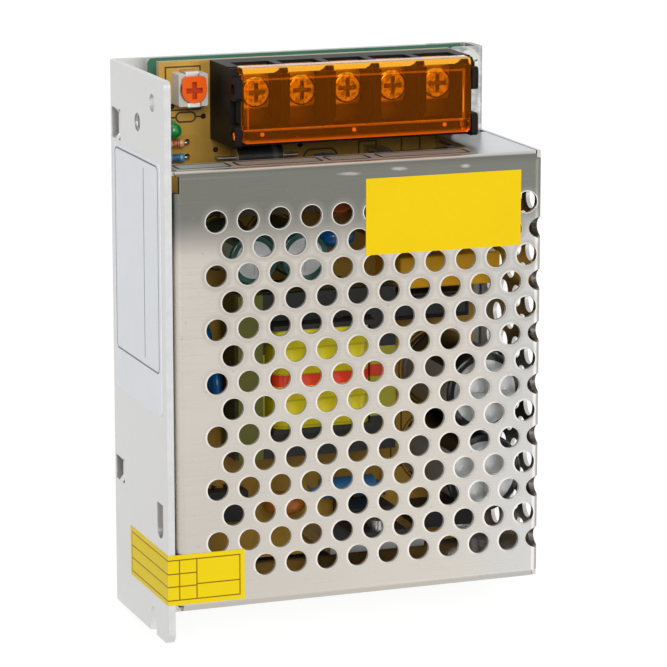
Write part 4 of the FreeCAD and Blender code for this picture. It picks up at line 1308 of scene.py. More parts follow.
@dataclass(frozen=True)
class CanSleeve(Finish):
    """A sleeved electrolytic can: shrunk sleeve, pale stripe, bare top with its vent cross.

    Args:
        centres: where the cans of this node stand.
        radius: radius of the cans.
        top: level of the can tops.
        stripe: colour of the plain polarity stripe.
        bare: share of the radius that the sleeve leaves bare on top.
        cross: share of the radius that the vent cross reaches.
        flank: share of the radius beyond which the stripe lies.
        metal: darkest and brightest tone of the bare top.
        score: tone of the vent cross.
    """

    centres: tuple[tuple[float, float], ...] = ((0.0, 0.0),)
    radius: float = 5.0
    top: float = 28.5
    stripe: Colour = (0.5, 0.5, 0.5)
    bare: float = 0.74
    cross: float = 0.6
    flank: float = 0.82
    metal: tuple[Colour, Colour] = ((0.42, 0.43, 0.43), (0.62, 0.63, 0.63))
    score: Colour = (0.12, 0.12, 0.12)

    def skin(self, graph: Graph) -> Skin:
        """Sleeve on the side and rim, aluminium on top.

        Args:
            graph: the material's node tree.

        Returns:
            The cans' skin.
        """
        x, y, z = graph.axes()
        discs, crosses, flanks = [], [], []
        for centre_x, centre_y in self.centres:
            across, along = x - centre_x, y - centre_y
            reach = distance(across, along)
            discs.append(reach < self.radius * self.bare)
            lines = across.near(0.0, 0.1) | along.near(0.0, 0.1)
            crosses.append(lines & (reach < self.radius * self.cross))
            flanks.append((across < -self.radius * self.flank) & (reach < self.radius + 1.0))
        bare = united(discs) & (z > self.top - 0.3)
        cross = united(crosses)
        wrinkle = graph.noise((4.0, 4.0, 0.8))
        sleeve = graph.blend(wrinkle, toned(self.colour, 0.75), self.colour)
        sleeve = graph.blend(united(flanks) & (z < self.top - 0.6), sleeve, self.stripe)
        top = graph.blend(graph.noise(2.5), *self.metal)
        top = graph.blend(cross * 0.35, top, self.score)
        rough = self.roughness + bare * 0.15 + (wrinkle - 0.5) * 0.1
        height = wrinkle * 0.03 - (cross & bare) * 0.05
        return Skin(graph.blend(bare, sleeve, top), rough, bare, height, fixed={"Coat Weight": 0.2})


@dataclass(frozen=True)
class AxialBody(Finish):
    """A dark moulded barrel on bright leads along X, with one pale ring at an end.

    Args:
        middle: middle of the barrel along X, in millimetres.
        half: half of its length.
        lead: tone of the leads.
        ring: tone of the ring.
        ring_at: middle of the ring, from the middle of the barrel.
        ring_half: half of the ring's width.
        grain: size of the moulding's grain.
    """

    middle: float = 0.0
    half: float = 4.7
    lead: Colour = (0.5, 0.48, 0.45)
    ring: Colour = (0.07, 0.075, 0.07)
    ring_at: float = 3.1
    ring_half: float = 0.55
    grain: float = 0.4

    def skin(self, graph: Graph) -> Skin:
        """Barrel, ring and leads told apart by their place along X.

        Args:
            graph: the material's node tree.

        Returns:
            The part's skin.
        """
        x = graph.axes()[0]
        grain = graph.noise(self.grain)
        barrel = graph.blend(grain, toned(self.colour, 0.8), self.colour)
        barrel = graph.blend(x.near(self.middle + self.ring_at, self.ring_half), barrel, self.ring)
        leads = abs(x - self.middle) > self.half
        colour = graph.blend(leads, barrel, self.lead)
        return Skin(colour, self.roughness + (grain - 0.5) * 0.1, leads, grain * 0.01)


@dataclass(frozen=True)
class Wound(Finish):
    """Enamelled wire laid turn by turn, with turns that repeat along Z.

    Args:
        wire: wire diameter, in millimetres.
        drift: how far the turns wander.
        metal: how metallic the enamelled wire looks.
    """

    wire: float = 0.7
    drift: float = 0.3
    metal: float = 0.75

    def skin(self, graph: Graph) -> Skin:
        """Round wires side by side, with painted shade in the gaps between them.

        Args:
            graph: the material's node tree.

        Returns:
            The winding's skin.
        """
        wander = graph.noise(6.0, 1.0) * self.drift
        phase = (graph.axes()[2] + wander).wrapped(self.wire) / self.wire - 0.5
        bulge = (0.25 - phase * phase) * 4.0
        # Painted shade in the gaps between the turns.
        gap_shade = 1.0 - bulge.eased(0.0, 0.5)
        colour = graph.blend(gap_shade, self.colour, toned(self.colour, 0.18))
        return Skin(colour, self.roughness, self.metal, bulge.root() * (self.wire * 0.4))


# Meshes


class Way(Enum):
    """The way that a turned solid lies, as the angle and axis that bring it there from upright."""

    ACROSS = (math.pi / 2, "Y")
    ALONG = (-math.pi / 2, "X")
    UP = (0.0, "Z")

    @property
    def turn(self) -> Matrix:
        """The rotation from upright."""
        return Matrix.Rotation(self.value[0], 4, self.value[1])


def placed(mesh: bmesh.types.BMesh, name: str, material: bpy.types.Material, body: str,
           smooth: bool = True) -> bpy.types.Object:
    """Turns a bmesh into a piece that rides on a body.

    Args:
        mesh: the geometry in millimetres, which is freed.
        name: the piece's name.
        material: its material.
        body: the CAD body that it rides on.
        smooth: whether its faces are shaded smooth.

    Returns:
        The new object.
    """
    bmesh.ops.scale(mesh, vec=(MM, MM, MM), verts=mesh.verts)
    bmesh.ops.recalc_face_normals(mesh, faces=mesh.faces)
    data = bpy.data.meshes.new(name)
    mesh.to_mesh(data)
    mesh.free()
    for face in data.polygons:
        face.use_smooth = smooth
    piece = bpy.data.objects.new(name, data)
    bpy.context.scene.collection.objects.link(piece)
    piece.data.materials.append(material)
    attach(piece, body)
    LOG.info("added %s on %s", name, body)
    return piece


def skinned(mesh: bmesh.types.BMesh, rings: list[list[bmesh.types.BMVert]], closed: bool,
            material_of: dict[int, int], index: int = 0) -> None:
    """Joins rings of vertices with faces, and shuts both ends unless they join each other.

    Args:
        mesh: where the faces go.
        rings: the rings, all with the same number of vertices.
        closed: whether the last ring joins the first.
        material_of: material index of the faces after a ring, by the ring's place.
        index: material index of all other faces.
    """
    pairs = list(zip(rings, rings[1:]))
    if closed:
        pairs.append((rings[-1], rings[0]))
    for place, (lower, upper) in enumerate(pairs):
        for step in range(len(lower)):
            after = (step + 1) % len(lower)
            face = mesh.faces.new((lower[step], lower[after], upper[after], upper[step]))
            face.material_index = material_of.get(place, index)
    if not closed:
        mesh.faces.new(list(reversed(rings[0]))).material_index = index
        mesh.faces.new(rings[-1]).material_index = index


def lathe(mesh: bmesh.types.BMesh, profile: Profile, centre: Spot, way: Way, steps: int,
          material_of: dict[int, int] | None = None) -> None:
    """Adds a turned solid.

    Args:
        mesh: where it goes.
        profile: its points from one end to the other.
        centre: where height 0 lies.
        way: the way that it lies.
        steps: number of faces round.
        material_of: material index of a ring of faces, by its place in the profile.
    """
    base = Vector(centre)
    rings = []
    for radius, height in profile:
        ring = []
        for step in range(steps):
            angle = 2 * math.pi * step / steps
            point = Vector((radius * math.cos(angle), radius * math.sin(angle), height))
            ring.append(mesh.verts.new(base + way.turn @ point))
        rings.append(ring)
    skinned(mesh, rings, False, material_of or {})


def wire(mesh: bmesh.types.BMesh, path: list[Vector], radius: float, index: int, steps: int = 8) -> None:
    """Adds a round wire along a path.

    Args:
        mesh: where it goes.
        path: its points.
        radius: radius of the wire.
        index: material index of its faces.
        steps: number of faces round.
    """
    rings = []
    side = (path[1] - path[0]).orthogonal().normalized()
    for before, point, after in zip([path[0], *path], path, [*path[1:], path[-1]]):
        ahead = (after - before).normalized()
        side = (side - ahead * side.dot(ahead)).normalized()
        up = ahead.cross(side)
        ring = []
        for step in range(steps):
            angle = 2 * math.pi * step / steps
            ring.append(mesh.verts.new(point + (side * math.cos(angle) + up * math.sin(angle)) * radius))
        rings.append(ring)
    skinned(mesh, rings, False, {}, index)


# Sub-assemblies


@dataclass
class Assembly:
    """A sub-assembly: dresses its CAD nodes and adds its pieces.

    Args:
        body: the CAD body that the added pieces ride on.
    """

    body: str = "case"

    def dress(self, finish: Finish | bpy.types.Material, *names: str) -> None:
        """Gives CAD nodes a finish.

        Args:
            finish: the finish, or a material already made from one.
            names: the nodes.
        """
        material = finish.material() if isinstance(finish, Finish) else finish
        for name in names:
            data = NODES[name].data
            data.materials.clear()
            data.materials.append(material)
            LOG.info("dressed %s with %s", name, material.name)

    def build(self) -> None:
        """Dresses and adds everything."""


@dataclass
class Enclosure(Assembly):
    """The folded chassis, the perforated cover and their screws."""

    def build(self) -> None:
        """Dresses the sheets and screws."""
        top = node_box("chassis")[1].z
        self.dress(ChassisSheet("chassis_sheet", srgb(208, 208, 208), 0.4, mottle=0.03, cut=top), "chassis")
        self.dress(CoverSheet("cover_sheet", srgb(199, 192, 183), 0.3, Lay.ACROSS, 0.04), "cover")
        self.dress(Plated("screw_plating", srgb(214, 214, 210), 0.25), "cover_screws", "board_screws")


@dataclass
class Labels(Assembly):
    """The four blank labels."""

    def build(self) -> None:
        """Dresses each label with its own film; all but the cover label carry ruled lines."""
        self.dress(RatingFilm("wall_label_film", srgb(240, 244, 250), 0.5, srgb(74, 78, 88)), "side_label")
        self.dress(Film("cover_label_film", srgb(246, 210, 10), 0.5, gloss=0.12), "cover_label")
        dates = DateFilm("date_label_film", srgb(243, 214, 16), 0.5, srgb(120, 84, 20), 0.12)
        self.dress(dates, "date_label")
        strip = TerminalFilm("shelf_label_film", srgb(152, 140, 130), 0.5, srgb(26, 22, 24), 0.1)
        self.dress(strip, "shelf_label")


@dataclass
class Board(Assembly):
    """The board with its insulating sheet and lead ends.

    Args:
        joints: where the lead ends stand, in x and y.
        fillet: profile of a lead end in its solder.
        lift: from the board's top to the foot of a lead end.
        steps: number of faces round a lead end.
    """

    joints: tuple[tuple[float, float], ...] = (
        (-25.3, 38.9), (-25.3, 36.0), (-21.9, 43.8), (-29.3, 43.8), (-30.6, 38.9), (-30.6, 36.0),
        (-19.4, 37.0), (-1.6, 37.0), (-28.4, 46.0),
    )
    fillet: tuple[tuple[float, float], ...] = (
        (0.55, 0.0), (0.44, 0.1), (0.3, 0.25), (0.27, 0.42), (0.1, 0.5),
    )
    lift: float = 0.01
    steps: int = 14

    def lead_ends(self) -> None:
        """Adds the lead ends in their small dark fillets."""
        solder = Plated("lead_plating", srgb(74, 58, 40), 0.45).material()
        mesh = bmesh.new()
        top = node_box("circuit_board")[1].z
        for x, y in self.joints:
            lathe(mesh, list(self.fillet), (x, y, top + self.lift), Way.UP, self.steps)
        placed(mesh, "lead_ends", solder, self.body)

    def build(self) -> None:
        """Dresses the laminate and the sheet, and adds the lead ends."""
        self.dress(Laminate("board_laminate", srgb(208, 163, 72), 0.45), "circuit_board")
        self.dress(Moulded("insulating_film", srgb(70, 122, 100), 0.3, 2.0, 0.005), "insulating_sheet")
        self.lead_ends()


@dataclass
class TerminalBlock(Assembly):
    """The barrier block with its contacts, clamps, screws and clear flap.

    Args:
        ways: number of terminals.
        clear: from the screw heads' low y to where the contact plates go dark.
    """

    ways: int = 5
    clear: float = 0.5

    def build(self) -> None:
        """Dresses the moulding, the metal and the flap."""
        moulding = Moulded("barrier_moulding", srgb(20, 19, 17), 0.5, 0.5, 0.012, gloss=0.12)
        self.dress(moulding, "terminal_housing")
        brass_tone = srgb(240, 222, 160)
        brass = Plated("brass_plating", brass_tone, 0.3).material()
        edge = node_box("terminal_screw_1")[0].y - self.clear
        self.dress(ContactPlate("contact_plating", brass_tone, 0.3, edge=edge), "terminal_contacts")
        steel = ScrewHead("nickel_plating", srgb(242, 232, 200), 0.2).material()
        for way in range(1, self.ways + 1):
            self.dress(brass, f"terminal_clamp_{way}")
            self.dress(steel, f"terminal_screw_{way}")
        amber = FlapPlastic("amber_plastic", (0.93, 0.43, 0.03), 0.01, 0.97, 0.22, (0.8, 0.15, 0.0))
        self.dress(amber, "terminal_flap")


@dataclass
class Adjusters(Assembly):
    """The trimmer and the indicator lamp.

    Args:
        clip_width: width of the trimmer's metal end clips.
        clip_thick: thickness of their strip.
        clip_back: outer side of a clip, as reach from the trimmer's edge and level from its top.
        clip_under: level of the strip's inner side on the trimmer's top, from that top.
        clip_bend: level of the inner bend, from the trimmer's top.
        clip_foot: from the board's top to a clip's foot.
        clip_bow: how far a clip's middle stands proud.
        clip_bevel: width of the part on each side that slopes to that middle.
        clip_shift: how far the two clips stand apart from the trimmer's middle, across.
    """

    clip_width: float = 2.7
    clip_thick: float = 0.28
    clip_back: tuple[tuple[float, float], ...] = ((-0.75, 0.2), (0.05, 0.26), (0.3, 0.1), (0.4, -0.3))
    clip_under: float = 0.02
    clip_bend: float = -0.35
    clip_foot: float = 0.02
    clip_bow: float = 0.04
    clip_bevel: float = 0.25
    clip_shift: float = 0.2

    def clip(self, mesh: bmesh.types.BMesh, x: float, y: float, outward: float, high: float) -> None:
        """Adds one bent end clip, which grips the trimmer's edge and goes down to the board.

        Args:
            mesh: where it goes.
            x: its middle, across.
            y: the trimmer's edge.
            outward: 1 or -1, the way out of the edge along Y.
            high: the level of the trimmer's top.
        """
        half, foot = self.clip_width / 2, BOARD_TOP + self.clip_foot
        grip, leg = self.clip_back[0][0], self.clip_back[-1][0]
        within, under = leg - self.clip_thick, high + self.clip_under
        outer = [(reach, high + level) for reach, level in self.clip_back] + [(leg, foot)]
        inner = [(within, foot), (within, high + self.clip_bend), (0.0, under), (grip, under)]
        slope = half - self.clip_bevel
        rings = []
        for side, bow in ((-half, 0.0), (-slope, self.clip_bow), (slope, self.clip_bow), (half, 0.0)):
            points = [(reach + bow, level + bow) for reach, level in outer] + inner
            rings.append([mesh.verts.new((x + side, y + outward * reach, level)) for reach, level in points])
        skinned(mesh, rings, False, {})

    def build(self) -> None:
        """Dresses the trimmer, its rotor and the lamp, and adds the trimmer's clips."""
        body = Moulded("trimmer_moulding", srgb(206, 204, 197), 0.5, 0.3, 0.03, mottle=0.2)
        self.dress(body, "trimmer_body")
        rotor = Rotor("rotor_moulding", srgb(250, 98, 0), 0.35, 0.4, 0.006, 0.1, 0.06, 0.2)
        self.dress(rotor, "trimmer_rotor")
        self.dress(Moulded("lamp_lens", srgb(4, 138, 58), 0.2, 0.6, 0.004, 0.6), "indicator_lamp")
        low, high = node_box("trimmer_body")
        middle = (low.x + high.x) / 2
        mesh = bmesh.new()
        self.clip(mesh, middle - self.clip_shift, high.y, 1.0, high.z)
        self.clip(mesh, middle + self.clip_shift, low.y, -1.0, high.z)
        plating = Plated("clip_plating", srgb(226, 224, 216), 0.3).material()
        placed(mesh, "trimmer_clips", plating, self.body, smooth=False)


@dataclass
class Transformer(Assembly):
    """The main transformer."""

    def build(self) -> None:
        """Dresses the core, bobbin, winding and tape."""
        core = WrappedCore("core_ferrite", srgb(38, 39, 38), 0.6)
        self.dress(core, "transformer_core_e", "transformer_core_i")
        self.dress(Moulded("bobbin_moulding", srgb(30, 30, 30), 0.45), "transformer_bobbin")
        tape = Tape("winding_tape", srgb(250, 234, 10), 0.3, srgb(250, 60, 20), (-7.5, -5.1))
        self.dress(tape, "transformer_winding")
        # Painted shade: the tape round the core is a dark olive, a shaded copy of the yellow tape.
        self.dress(Tape("core_tape_shaded", srgb(72, 68, 26), 0.35), "transformer_tape")


@dataclass
class Capacitors(Assembly):
    """Electrolytic cans, film capacitor and discs.

    Args:
        output_spots: where the output cans stand, in x and y.
        input_spots: where the input cans stand.
        small_spot: middle of the small dipped disc.
        small_radius: its radius.
        small_profile: one half of its profile, as share of its radius and height.
        leg_shift: how far its legs stand apart from its middle plane.
        leg_start: where its legs leave it, out and down as shares of its radius.
        leg_reach: from its middle to its legs' feet, along.
        leg_radius: radius of its legs.
        steps: number of faces round it.
    """

    output_spots: tuple[tuple[float, float], ...] = ((-18.5, 18.4), (-8.1, 18.4))
    input_spots: tuple[tuple[float, float], ...] = ((28.2, -10.6), (28.2, -27.2))
    small_spot: Spot = (-22.5, -9.0, 14.2)
    small_radius: float = 4.0
    small_profile: tuple[tuple[float, float], ...] = ((0.3, -1.25), (0.78, -1.05), (0.97, -0.5))
    leg_shift: float = 0.3
    leg_start: tuple[float, float] = (0.6, 0.7)
    leg_reach: float = 2.5
    leg_radius: float = 0.3
    steps: int = 32

    def small_disc(self, material: bpy.types.Material) -> None:
        """Adds the small dipped disc beside the transformer, on two legs.

        Args:
            material: the dip's material.
        """
        radius, (x, y, z) = self.small_radius, self.small_spot
        out, down = self.leg_start
        mesh = bmesh.new()
        profile = [(radius * share, height) for share, height in self.small_profile]
        profile += [(radius, 0.0)] + [(reach, -height) for reach, height in reversed(profile)]
        lathe(mesh, profile, self.small_spot, Way.ACROSS, self.steps)
        for sign in (-1, 1):
            start = Vector((x + sign * self.leg_shift, y + sign * radius * out, z - radius * down))
            foot = Vector((x + sign * self.leg_shift, y + sign * self.leg_reach, BOARD_TOP))
            wire(mesh, [start, (start + foot) / 2, foot], self.leg_radius, 1)
        piece = placed(mesh, "small_disc_capacitor", material, self.body)
        piece.data.materials.append(Plated("disc_legs", srgb(190, 186, 176), 0.3).material())

    def build(self) -> None:
        """Dresses each kind and adds the small disc."""
        top = node_box("output_capacitors")[1].z
        spots, stripe = self.output_spots, srgb(160, 170, 150)
        green = CanSleeve("green_sleeve", srgb(24, 80, 70), 0.3, spots, 5.0, top, stripe, 0.74)
        self.dress(green, "output_capacitors")
        top = node_box("input_capacitors")[1].z
        spots, stripe = self.input_spots, srgb(150, 150, 150)
        black = CanSleeve("black_sleeve", srgb(24, 24, 27), 0.3, spots, 8.0, top, stripe, 0.82)
        self.dress(black, "input_capacitors")
        self.dress(Moulded("film_box", srgb(240, 176, 8), 0.35, 0.8, 0.01, 0.1, gloss=0.25), "film_capacitor")
        blue = Moulded("blue_dip", srgb(14, 104, 176), 0.25, 1.6, 0.03, 0.5).material()
        self.dress(blue, "disc_capacitors")
        self.small_disc(blue)
        self.dress(Moulded("orange_dip", srgb(206, 118, 34), 0.28, 1.6, 0.03, 0.4), "surge_disc")
        self.dress(Moulded("dark_dip", srgb(54, 70, 60), 0.45, 1.2, 0.03), "inrush_thermistor")


@dataclass
class Filter(Assembly):
    """The mains filter choke, the output inductor and the fuse.

    Args:
        case_low: lowest corner of the small dark potted part between the filter and the cans.
        case_high: its highest corner.
        rounding: width of its rounded edges.
        rim: width of the rim round its fill.
        sunk: depth of the fill under that rim.
    """

    case_low: Spot = (14.2, 2.2, 8.05)
    case_high: Spot = (30.5, 7.6, 19.5)
    rounding: float = 0.5
    rim: float = 0.5
    sunk: float = 0.35

    def potted_part(self) -> None:
        """Adds the potted part: a case with rounded edges and a sunk fill on top."""
        low, high = Vector(self.case_low), Vector(self.case_high)
        mesh = bmesh.new()
        bmesh.ops.create_cube(mesh, size=1.0)
        bmesh.ops.scale(mesh, vec=high - low, verts=mesh.verts)
        bmesh.ops.translate(mesh, vec=(low + high) / 2, verts=mesh.verts)
        edges = mesh.edges[:]
        bmesh.ops.bevel(mesh, geom=edges, offset=self.rounding, segments=3, affect="EDGES", profile=0.5)
        top = max(mesh.faces, key=lambda face: face.calc_center_median().z)
        bmesh.ops.inset_region(mesh, faces=[top], thickness=self.rim)
        for corner in top.verts:
            corner.co.z -= self.sunk
        potting = Moulded("potting", srgb(20, 20, 21), 0.45, 0.4, 0.015).material()
        placed(mesh, "potted_part", potting, self.body, smooth=False)

    def build(self) -> None:
        """Adds the potted part, and dresses the wound parts and the fuse."""
        self.potted_part()
        self.dress(Ferrite("choke_ferrite", srgb(58, 58, 60), 0.55), "choke_core")
        self.dress(Wound("choke_wire", srgb(196, 112, 52), 0.3), "choke_windings")
        self.dress(Wound("inductor_wire", srgb(176, 92, 44), 0.32, 0.6), "output_inductor")
        self.dress(ClearPlastic("fuse_glass", (0.94, 0.97, 0.96), 0.02), "fuse_tube")
        self.dress(Plated("fuse_plating", srgb(206, 206, 200), 0.22), "fuse_caps", "fuse_clips")


@dataclass
class PowerDevices(Assembly):
    """Heat sinks, the devices on them and the chips."""

    def build(self) -> None:
        """Dresses the plates, packages and the output diode."""
        low, high = node_box("output_diode")
        diode = AxialBody("diode_moulding", srgb(40, 40, 42), 0.42, (low.x + high.x) / 2)
        self.dress(diode, "output_diode")
        self.dress(Sheet("sink_sheet", srgb(206, 207, 208), 0.4, Lay.ACROSS, 0.06), "heat_sink_input")
        self.dress(Sheet("dark_sink_sheet", srgb(70, 62, 50), 0.45, Lay.ACROSS, 0.06), "heat_sink_output")
        package = Moulded("package_moulding", srgb(38, 38, 40), 0.5, 0.25, 0.012)
        self.dress(package, "power_transistor", "output_rectifier", "bridge_rectifier", "control_chip",
                   "optocoupler")
        self.dress(Plated("device_screw_plating", srgb(210, 210, 206), 0.25), "device_screws")


@dataclass
class Resistors(Assembly):
    """Lead mounted resistors with painted rings.

    Args:
        level: height of the barrels' middles.
        barrel: length of a barrel.
        radius: radius of its caps.
        waist: radius between the caps, as a share of theirs.
        tip: radius of a barrel's end faces.
        cap: half of a cap's profile, as share of its radius and distance from the barrel's end.
        shoulder: from the barrel's end to its waist.
        bare: length of a barrel that carries no rings, at both ends together.
        ring_share: width of a ring, as a share of the distance between rings.
        steps: number of faces round a barrel.
        lead_radius: radius of the leads.
        lead_bend: a lead's bend as distance before its foot and depth under the barrel's middle.
        lead_root: how far a lead starts inside the barrel.
        tan_spots: middle, way and leg distance of each tan resistor.
        blue_spots: the same of each blue one.
    """

    level: float = 9.2
    barrel: float = 3.2
    radius: float = 0.9
    waist: float = 0.84
    tip: float = 0.25
    cap: tuple[tuple[float, float], ...] = ((0.8, 0.05), (1.0, 0.25), (1.0, 0.7))
    shoulder: float = 0.9
    bare: float = 1.7
    ring_share: float = 0.6
    steps: int = 20
    lead_radius: float = 0.28
    lead_bend: tuple[tuple[float, float], ...] = ((0.35, 0.0), (0.1, 0.1), (0.0, 0.35))
    lead_root: float = 0.1
    tan_spots: tuple[tuple[float, float, Way, float], ...] = (
        (-28.0, 38.9, Way.ACROSS, 5.4), (-28.0, 9.5, Way.ACROSS, 5.4),
        (-27.6, -24.5, Way.ALONG, 6.4), (16.2, -33.0, Way.ALONG, 6.4),
    )
    blue_spots: tuple[tuple[float, float, Way, float], ...] = (
        (-28.0, 36.0, Way.ACROSS, 5.4), (-24.4, -24.5, Way.ALONG, 6.4), (16.2, -20.5, Way.ALONG, 6.4),
    )

    def resistor(self, mesh: bmesh.types.BMesh, x: float, y: float, way: Way, span: float,
                 bands: int) -> None:
        """Adds one resistor.

        Args:
            mesh: where it goes.
            x: middle, across.
            y: middle, along.
            way: the way its barrel lies.
            span: distance between its legs.
            bands: number of painted rings.
        """
        half, waist = self.barrel / 2, self.radius * self.waist
        caps = [(self.radius * share, depth) for share, depth in self.cap]
        stops = [(self.tip, -half)] + [(reach, -half + depth) for reach, depth in caps]
        material_of: dict[int, int] = {}
        pitch = (self.barrel - self.bare) / bands
        for ring in range(bands):
            start = -half + self.shoulder + pitch * ring
            material_of[len(stops)] = 2 + ring
            stops += [(waist, start), (waist, start + pitch * self.ring_share)]
        stops.append((waist, half - self.shoulder))
        stops += [(reach, half - depth) for reach, depth in reversed(caps)] + [(self.tip, half)]
        lathe(mesh, stops, (x, y, self.level), way, self.steps, material_of)
        middle = Vector((x, y, self.level))
        for sign in (-1, 1):
            ahead = Vector((sign, 0, 0)) if way is Way.ACROSS else Vector((0, sign, 0))
            foot = middle + ahead * (span / 2)
            path = [middle + ahead * (half - self.lead_root)]
            path += [foot - ahead * before - Vector((0, 0, depth)) for before, depth in self.lead_bend]
            path.append(Vector((foot.x, foot.y, BOARD_TOP)))
            wire(mesh, path, self.lead_radius, 1)

    def group(self, name: str, node: str, slot: str, finish: Finish, rings: list[Colour],
              spots: tuple[tuple[float, float, Way, float], ...]) -> None:
        """Builds the resistors that stand for one CAD node.

        Args:
            name: the piece's name.
            node: the CAD node that it replaces.
            slot: the record's material slot; not used.
            finish: finish of the barrels.
            rings: colours of the painted rings.
            spots: middle, way and leg distance of each.
        """
        mesh = bmesh.new()
        for x, y, way, span in spots:
            self.resistor(mesh, x, y, way, span, len(rings))
        piece = placed(mesh, name, finish.material(), self.body)
        piece.data.materials.append(Plated(name + "_leads", srgb(190, 186, 176), 0.3).material())
        for place, colour in enumerate(rings):
            ring = Moulded(f"{name}_ring_{place}", colour, 0.35, 0.4, 0.003, 0.3)
            piece.data.materials.append(ring.material())
        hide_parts(node)

    def build(self) -> None:
        """Builds both groups and dresses the power resistor."""
        tan = Moulded("tan_lacquer", srgb(222, 170, 118), 0.35, 0.5, 0.006, 0.3)
        blue = Moulded("blue_lacquer", srgb(62, 154, 206), 0.35, 0.5, 0.006, 0.3)
        red, brown, black = srgb(214, 30, 12), srgb(96, 34, 14), srgb(16, 16, 24)
        self.group("tan_resistors", "axial_resistors_tan", "resistor_tan", tan,
                   [red, red, brown, red], self.tan_spots)
        self.group("blue_resistors", "axial_resistors_blue", "resistor_blue", blue,
                   [brown, black, black, brown], self.blue_spots)
        self.dress(Moulded("power_lacquer", srgb(60, 130, 190), 0.3, 0.6, 0.01, 0.3), "power_resistor")


# Studio


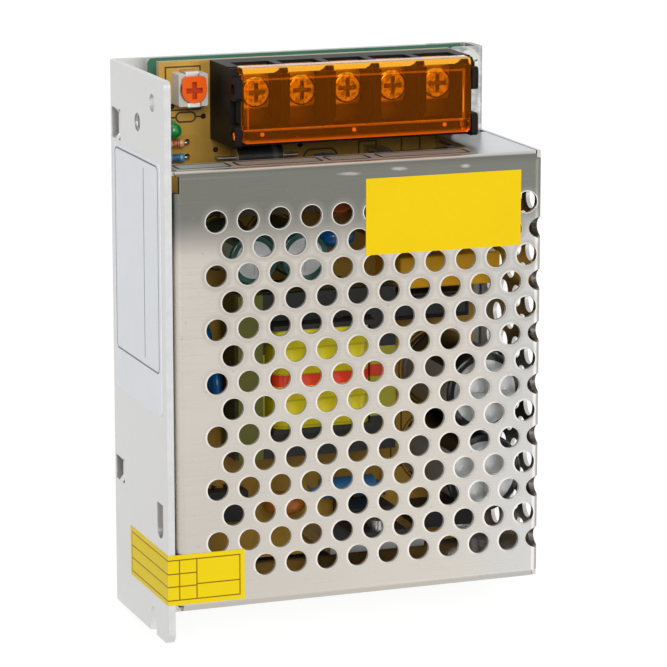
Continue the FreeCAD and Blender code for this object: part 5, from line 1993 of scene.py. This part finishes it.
@dataclass
class Studio:
    """Floor, soft lamps, world and the camera at the photograph's angle.

    Args:
        azimuth: turn of the camera towards the label wall, in degrees.
        elevation: tilt of the camera towards the terminals, in degrees.
        distance: from the middle of the case to the camera, in millimetres.
        shift: how far the camera stands aside, right and up.
        lens: focal length of the camera.
        sensor: width of its sensor.
        middle: height of the point that the camera turns about.
        lamps: name, place in metres, side of the square in metres, power in watts and tint of each.
        aim: point that the lamps face, in metres.
        daylight: strength of the world's light.
        daylight_tint: its colour.
        floor_size: half of the floor's side.
        floor_drop: from the case's foot to the floor.
        floor_tone: the floor's grey, for the light that it sends back to the case.
        shadow_tone: its grey where it is seen, which sets how deep the shadow is.
        floor_glow: its own light where it is seen.
    """

    azimuth: float = 20.39
    elevation: float = 12.0
    distance: float = 693.4
    shift: tuple[float, float] = (1.625, 0.404)
    lens: float = 188.0
    sensor: float = 36.0
    middle: float = 18.0
    lamps: tuple[tuple[str, Spot, float, float, Colour], ...] = (
        ("key_lamp", (-0.5, 0.75, 1.7), 0.9, 22.0, (1.0, 0.985, 0.96)),
        ("fill_lamp", (1.3, -0.5, 1.1), 1.4, 6.0, (0.98, 0.99, 1.0)),
    )
    aim: Spot = (0.0, 0.0, 0.02)
    daylight: float = 0.42
    daylight_tint: Colour = (1.0, 0.99, 0.975)
    floor_size: float = 3000.0
    floor_drop: float = 0.2
    floor_tone: float = 0.82
    shadow_tone: float = 0.3
    floor_glow: float = 0.78

    def camera(self) -> None:
        """Adds the camera."""
        turn, tilt = math.radians(self.azimuth), math.radians(self.elevation)
        back = Vector((-math.sin(turn) * math.cos(tilt), math.sin(tilt), math.cos(turn) * math.cos(tilt)))
        right = Vector((math.cos(turn), 0.0, math.sin(turn)))
        up = back.cross(right)
        spot = Vector((0, 0, self.middle)) + back * self.distance + right * self.shift[0] + up * self.shift[1]
        data = bpy.data.cameras.new("photo_camera")
        data.lens = self.lens
        data.sensor_width = self.sensor
        data.clip_start = 0.01
        data.clip_end = 50.0
        camera = bpy.data.objects.new("photo_camera", data)
        pose = Matrix((right, up, back)).transposed().to_4x4()
        pose.translation = spot * MM
        camera.matrix_world = pose
        bpy.context.scene.collection.objects.link(camera)
        bpy.context.scene.camera = camera

    def lamp(self, name: str, spot: Spot, size: float, power: float, tint: Colour) -> None:
        """Adds a large soft lamp that faces the case.

        Args:
            name: its name.
            spot: where it hangs, in metres.
            size: side of its square, in metres.
            power: its power, in watts.
            tint: its colour.
        """
        data = bpy.data.lights.new(name, "AREA")
        data.size = size
        data.energy = power
        data.color = tint
        lamp = bpy.data.objects.new(name, data)
        lamp.location = spot
        towards = Vector(self.aim) - Vector(spot)
        lamp.rotation_euler = towards.to_track_quat("-Z", "Y").to_euler()
        bpy.context.scene.collection.objects.link(lamp)

    def mixed(self, graph: Graph, unseen: bpy.types.NodeSocket, shown: bpy.types.NodeSocket,
              output: str) -> None:
        """Ends a backdrop's tree: one shader lights the case, the other is seen.

        Args:
            graph: the backdrop's node tree.
            unseen: shader for the rays that carry light to the case.
            shown: shader for rays from the camera, in a reflection or through glass.
            output: type name of the tree's output node.
        """
        path = graph.node("ShaderNodeLightPath", {}, {})
        names = ("Is Camera Ray", "Is Glossy Ray", "Is Transmission Ray")
        seen = united([Field(graph, path.outputs[name]) for name in names])
        mix = graph.node("ShaderNodeMixShader", {}, {0: seen, 1: unseen, 2: shown})
        graph.node(output, {}, {0: mix.outputs[0]})

    def floor(self) -> None:
        """Adds the pale floor, which renders white apart from the case's shadow."""
        graph = Graph(bpy.data.materials.new("floor_white"))
        grey, dim = (self.floor_tone,) * 3 + (1.0,), (self.shadow_tone,) * 3 + (1.0,)
        plain = graph.node("ShaderNodeBsdfDiffuse", {}, {"Color": grey})
        faint = graph.node("ShaderNodeBsdfDiffuse", {}, {"Color": dim})
        values = {"Color": (1.0, 1.0, 1.0, 1.0), "Strength": self.floor_glow}
        glow = graph.node("ShaderNodeEmission", {}, values)
        white = graph.node("ShaderNodeAddShader", {}, {0: faint.outputs[0], 1: glow.outputs[0]})
        self.mixed(graph, plain.outputs[0], white.outputs[0], "ShaderNodeOutputMaterial")
        mesh = bmesh.new()
        bmesh.ops.create_grid(mesh, x_segments=1, y_segments=1, size=self.floor_size * MM)
        bmesh.ops.translate(mesh, vec=(0, 0, -self.floor_drop * MM), verts=mesh.verts)
        data = bpy.data.meshes.new("floor")
        mesh.to_mesh(data)
        mesh.free()
        floor = bpy.data.objects.new("floor", data)
        floor.data.materials.append(graph.owner)
        bpy.context.scene.collection.objects.link(floor)

    def world(self) -> None:
        """Sets an even pale world, which is white where the camera, a reflection or glass shows it."""
        graph = Graph(bpy.data.worlds.new("studio"))
        values = {0: (*self.daylight_tint, 1.0), 1: self.daylight}
        light = graph.node("ShaderNodeBackground", {}, values)
        white = graph.node("ShaderNodeBackground", {}, {0: (1.0, 1.0, 1.0, 1.0), 1: 1.0})
        self.mixed(graph, light.outputs[0], white.outputs[0], "ShaderNodeOutputWorld")
        bpy.context.scene.world = graph.owner

    def build(self) -> None:
        """Sets up the whole studio."""
        self.camera()
        self.floor()
        self.world()
        for settings in self.lamps:
            self.lamp(*settings)
        bpy.context.scene.view_settings.view_transform = "Standard"


def write_sizes() -> None:
    """Holds a helper that turns box corners into lists of numbers; it writes nothing."""
    def plain(limits: Any) -> list[list[float]]:
        """Box corners as lists of numbers."""
        return [[float(value) for value in corner] for corner in limits]


def main() -> None:
    """Builds the studio and each sub-assembly in order."""
    logging.basicConfig(level=logging.INFO, format="%(name)s %(message)s")
    parts: list[Studio | Assembly] = [
        Studio(), Enclosure(), Labels(), Board(), TerminalBlock(), Adjusters(), Transformer(),
        Capacitors(), Filter(), PowerDevices(), Resistors(),
    ]
    for part in parts:
        part.build()
        LOG.info("built %s", type(part).__name__)
    write_sizes()


if __name__ == "__main__":
    main()
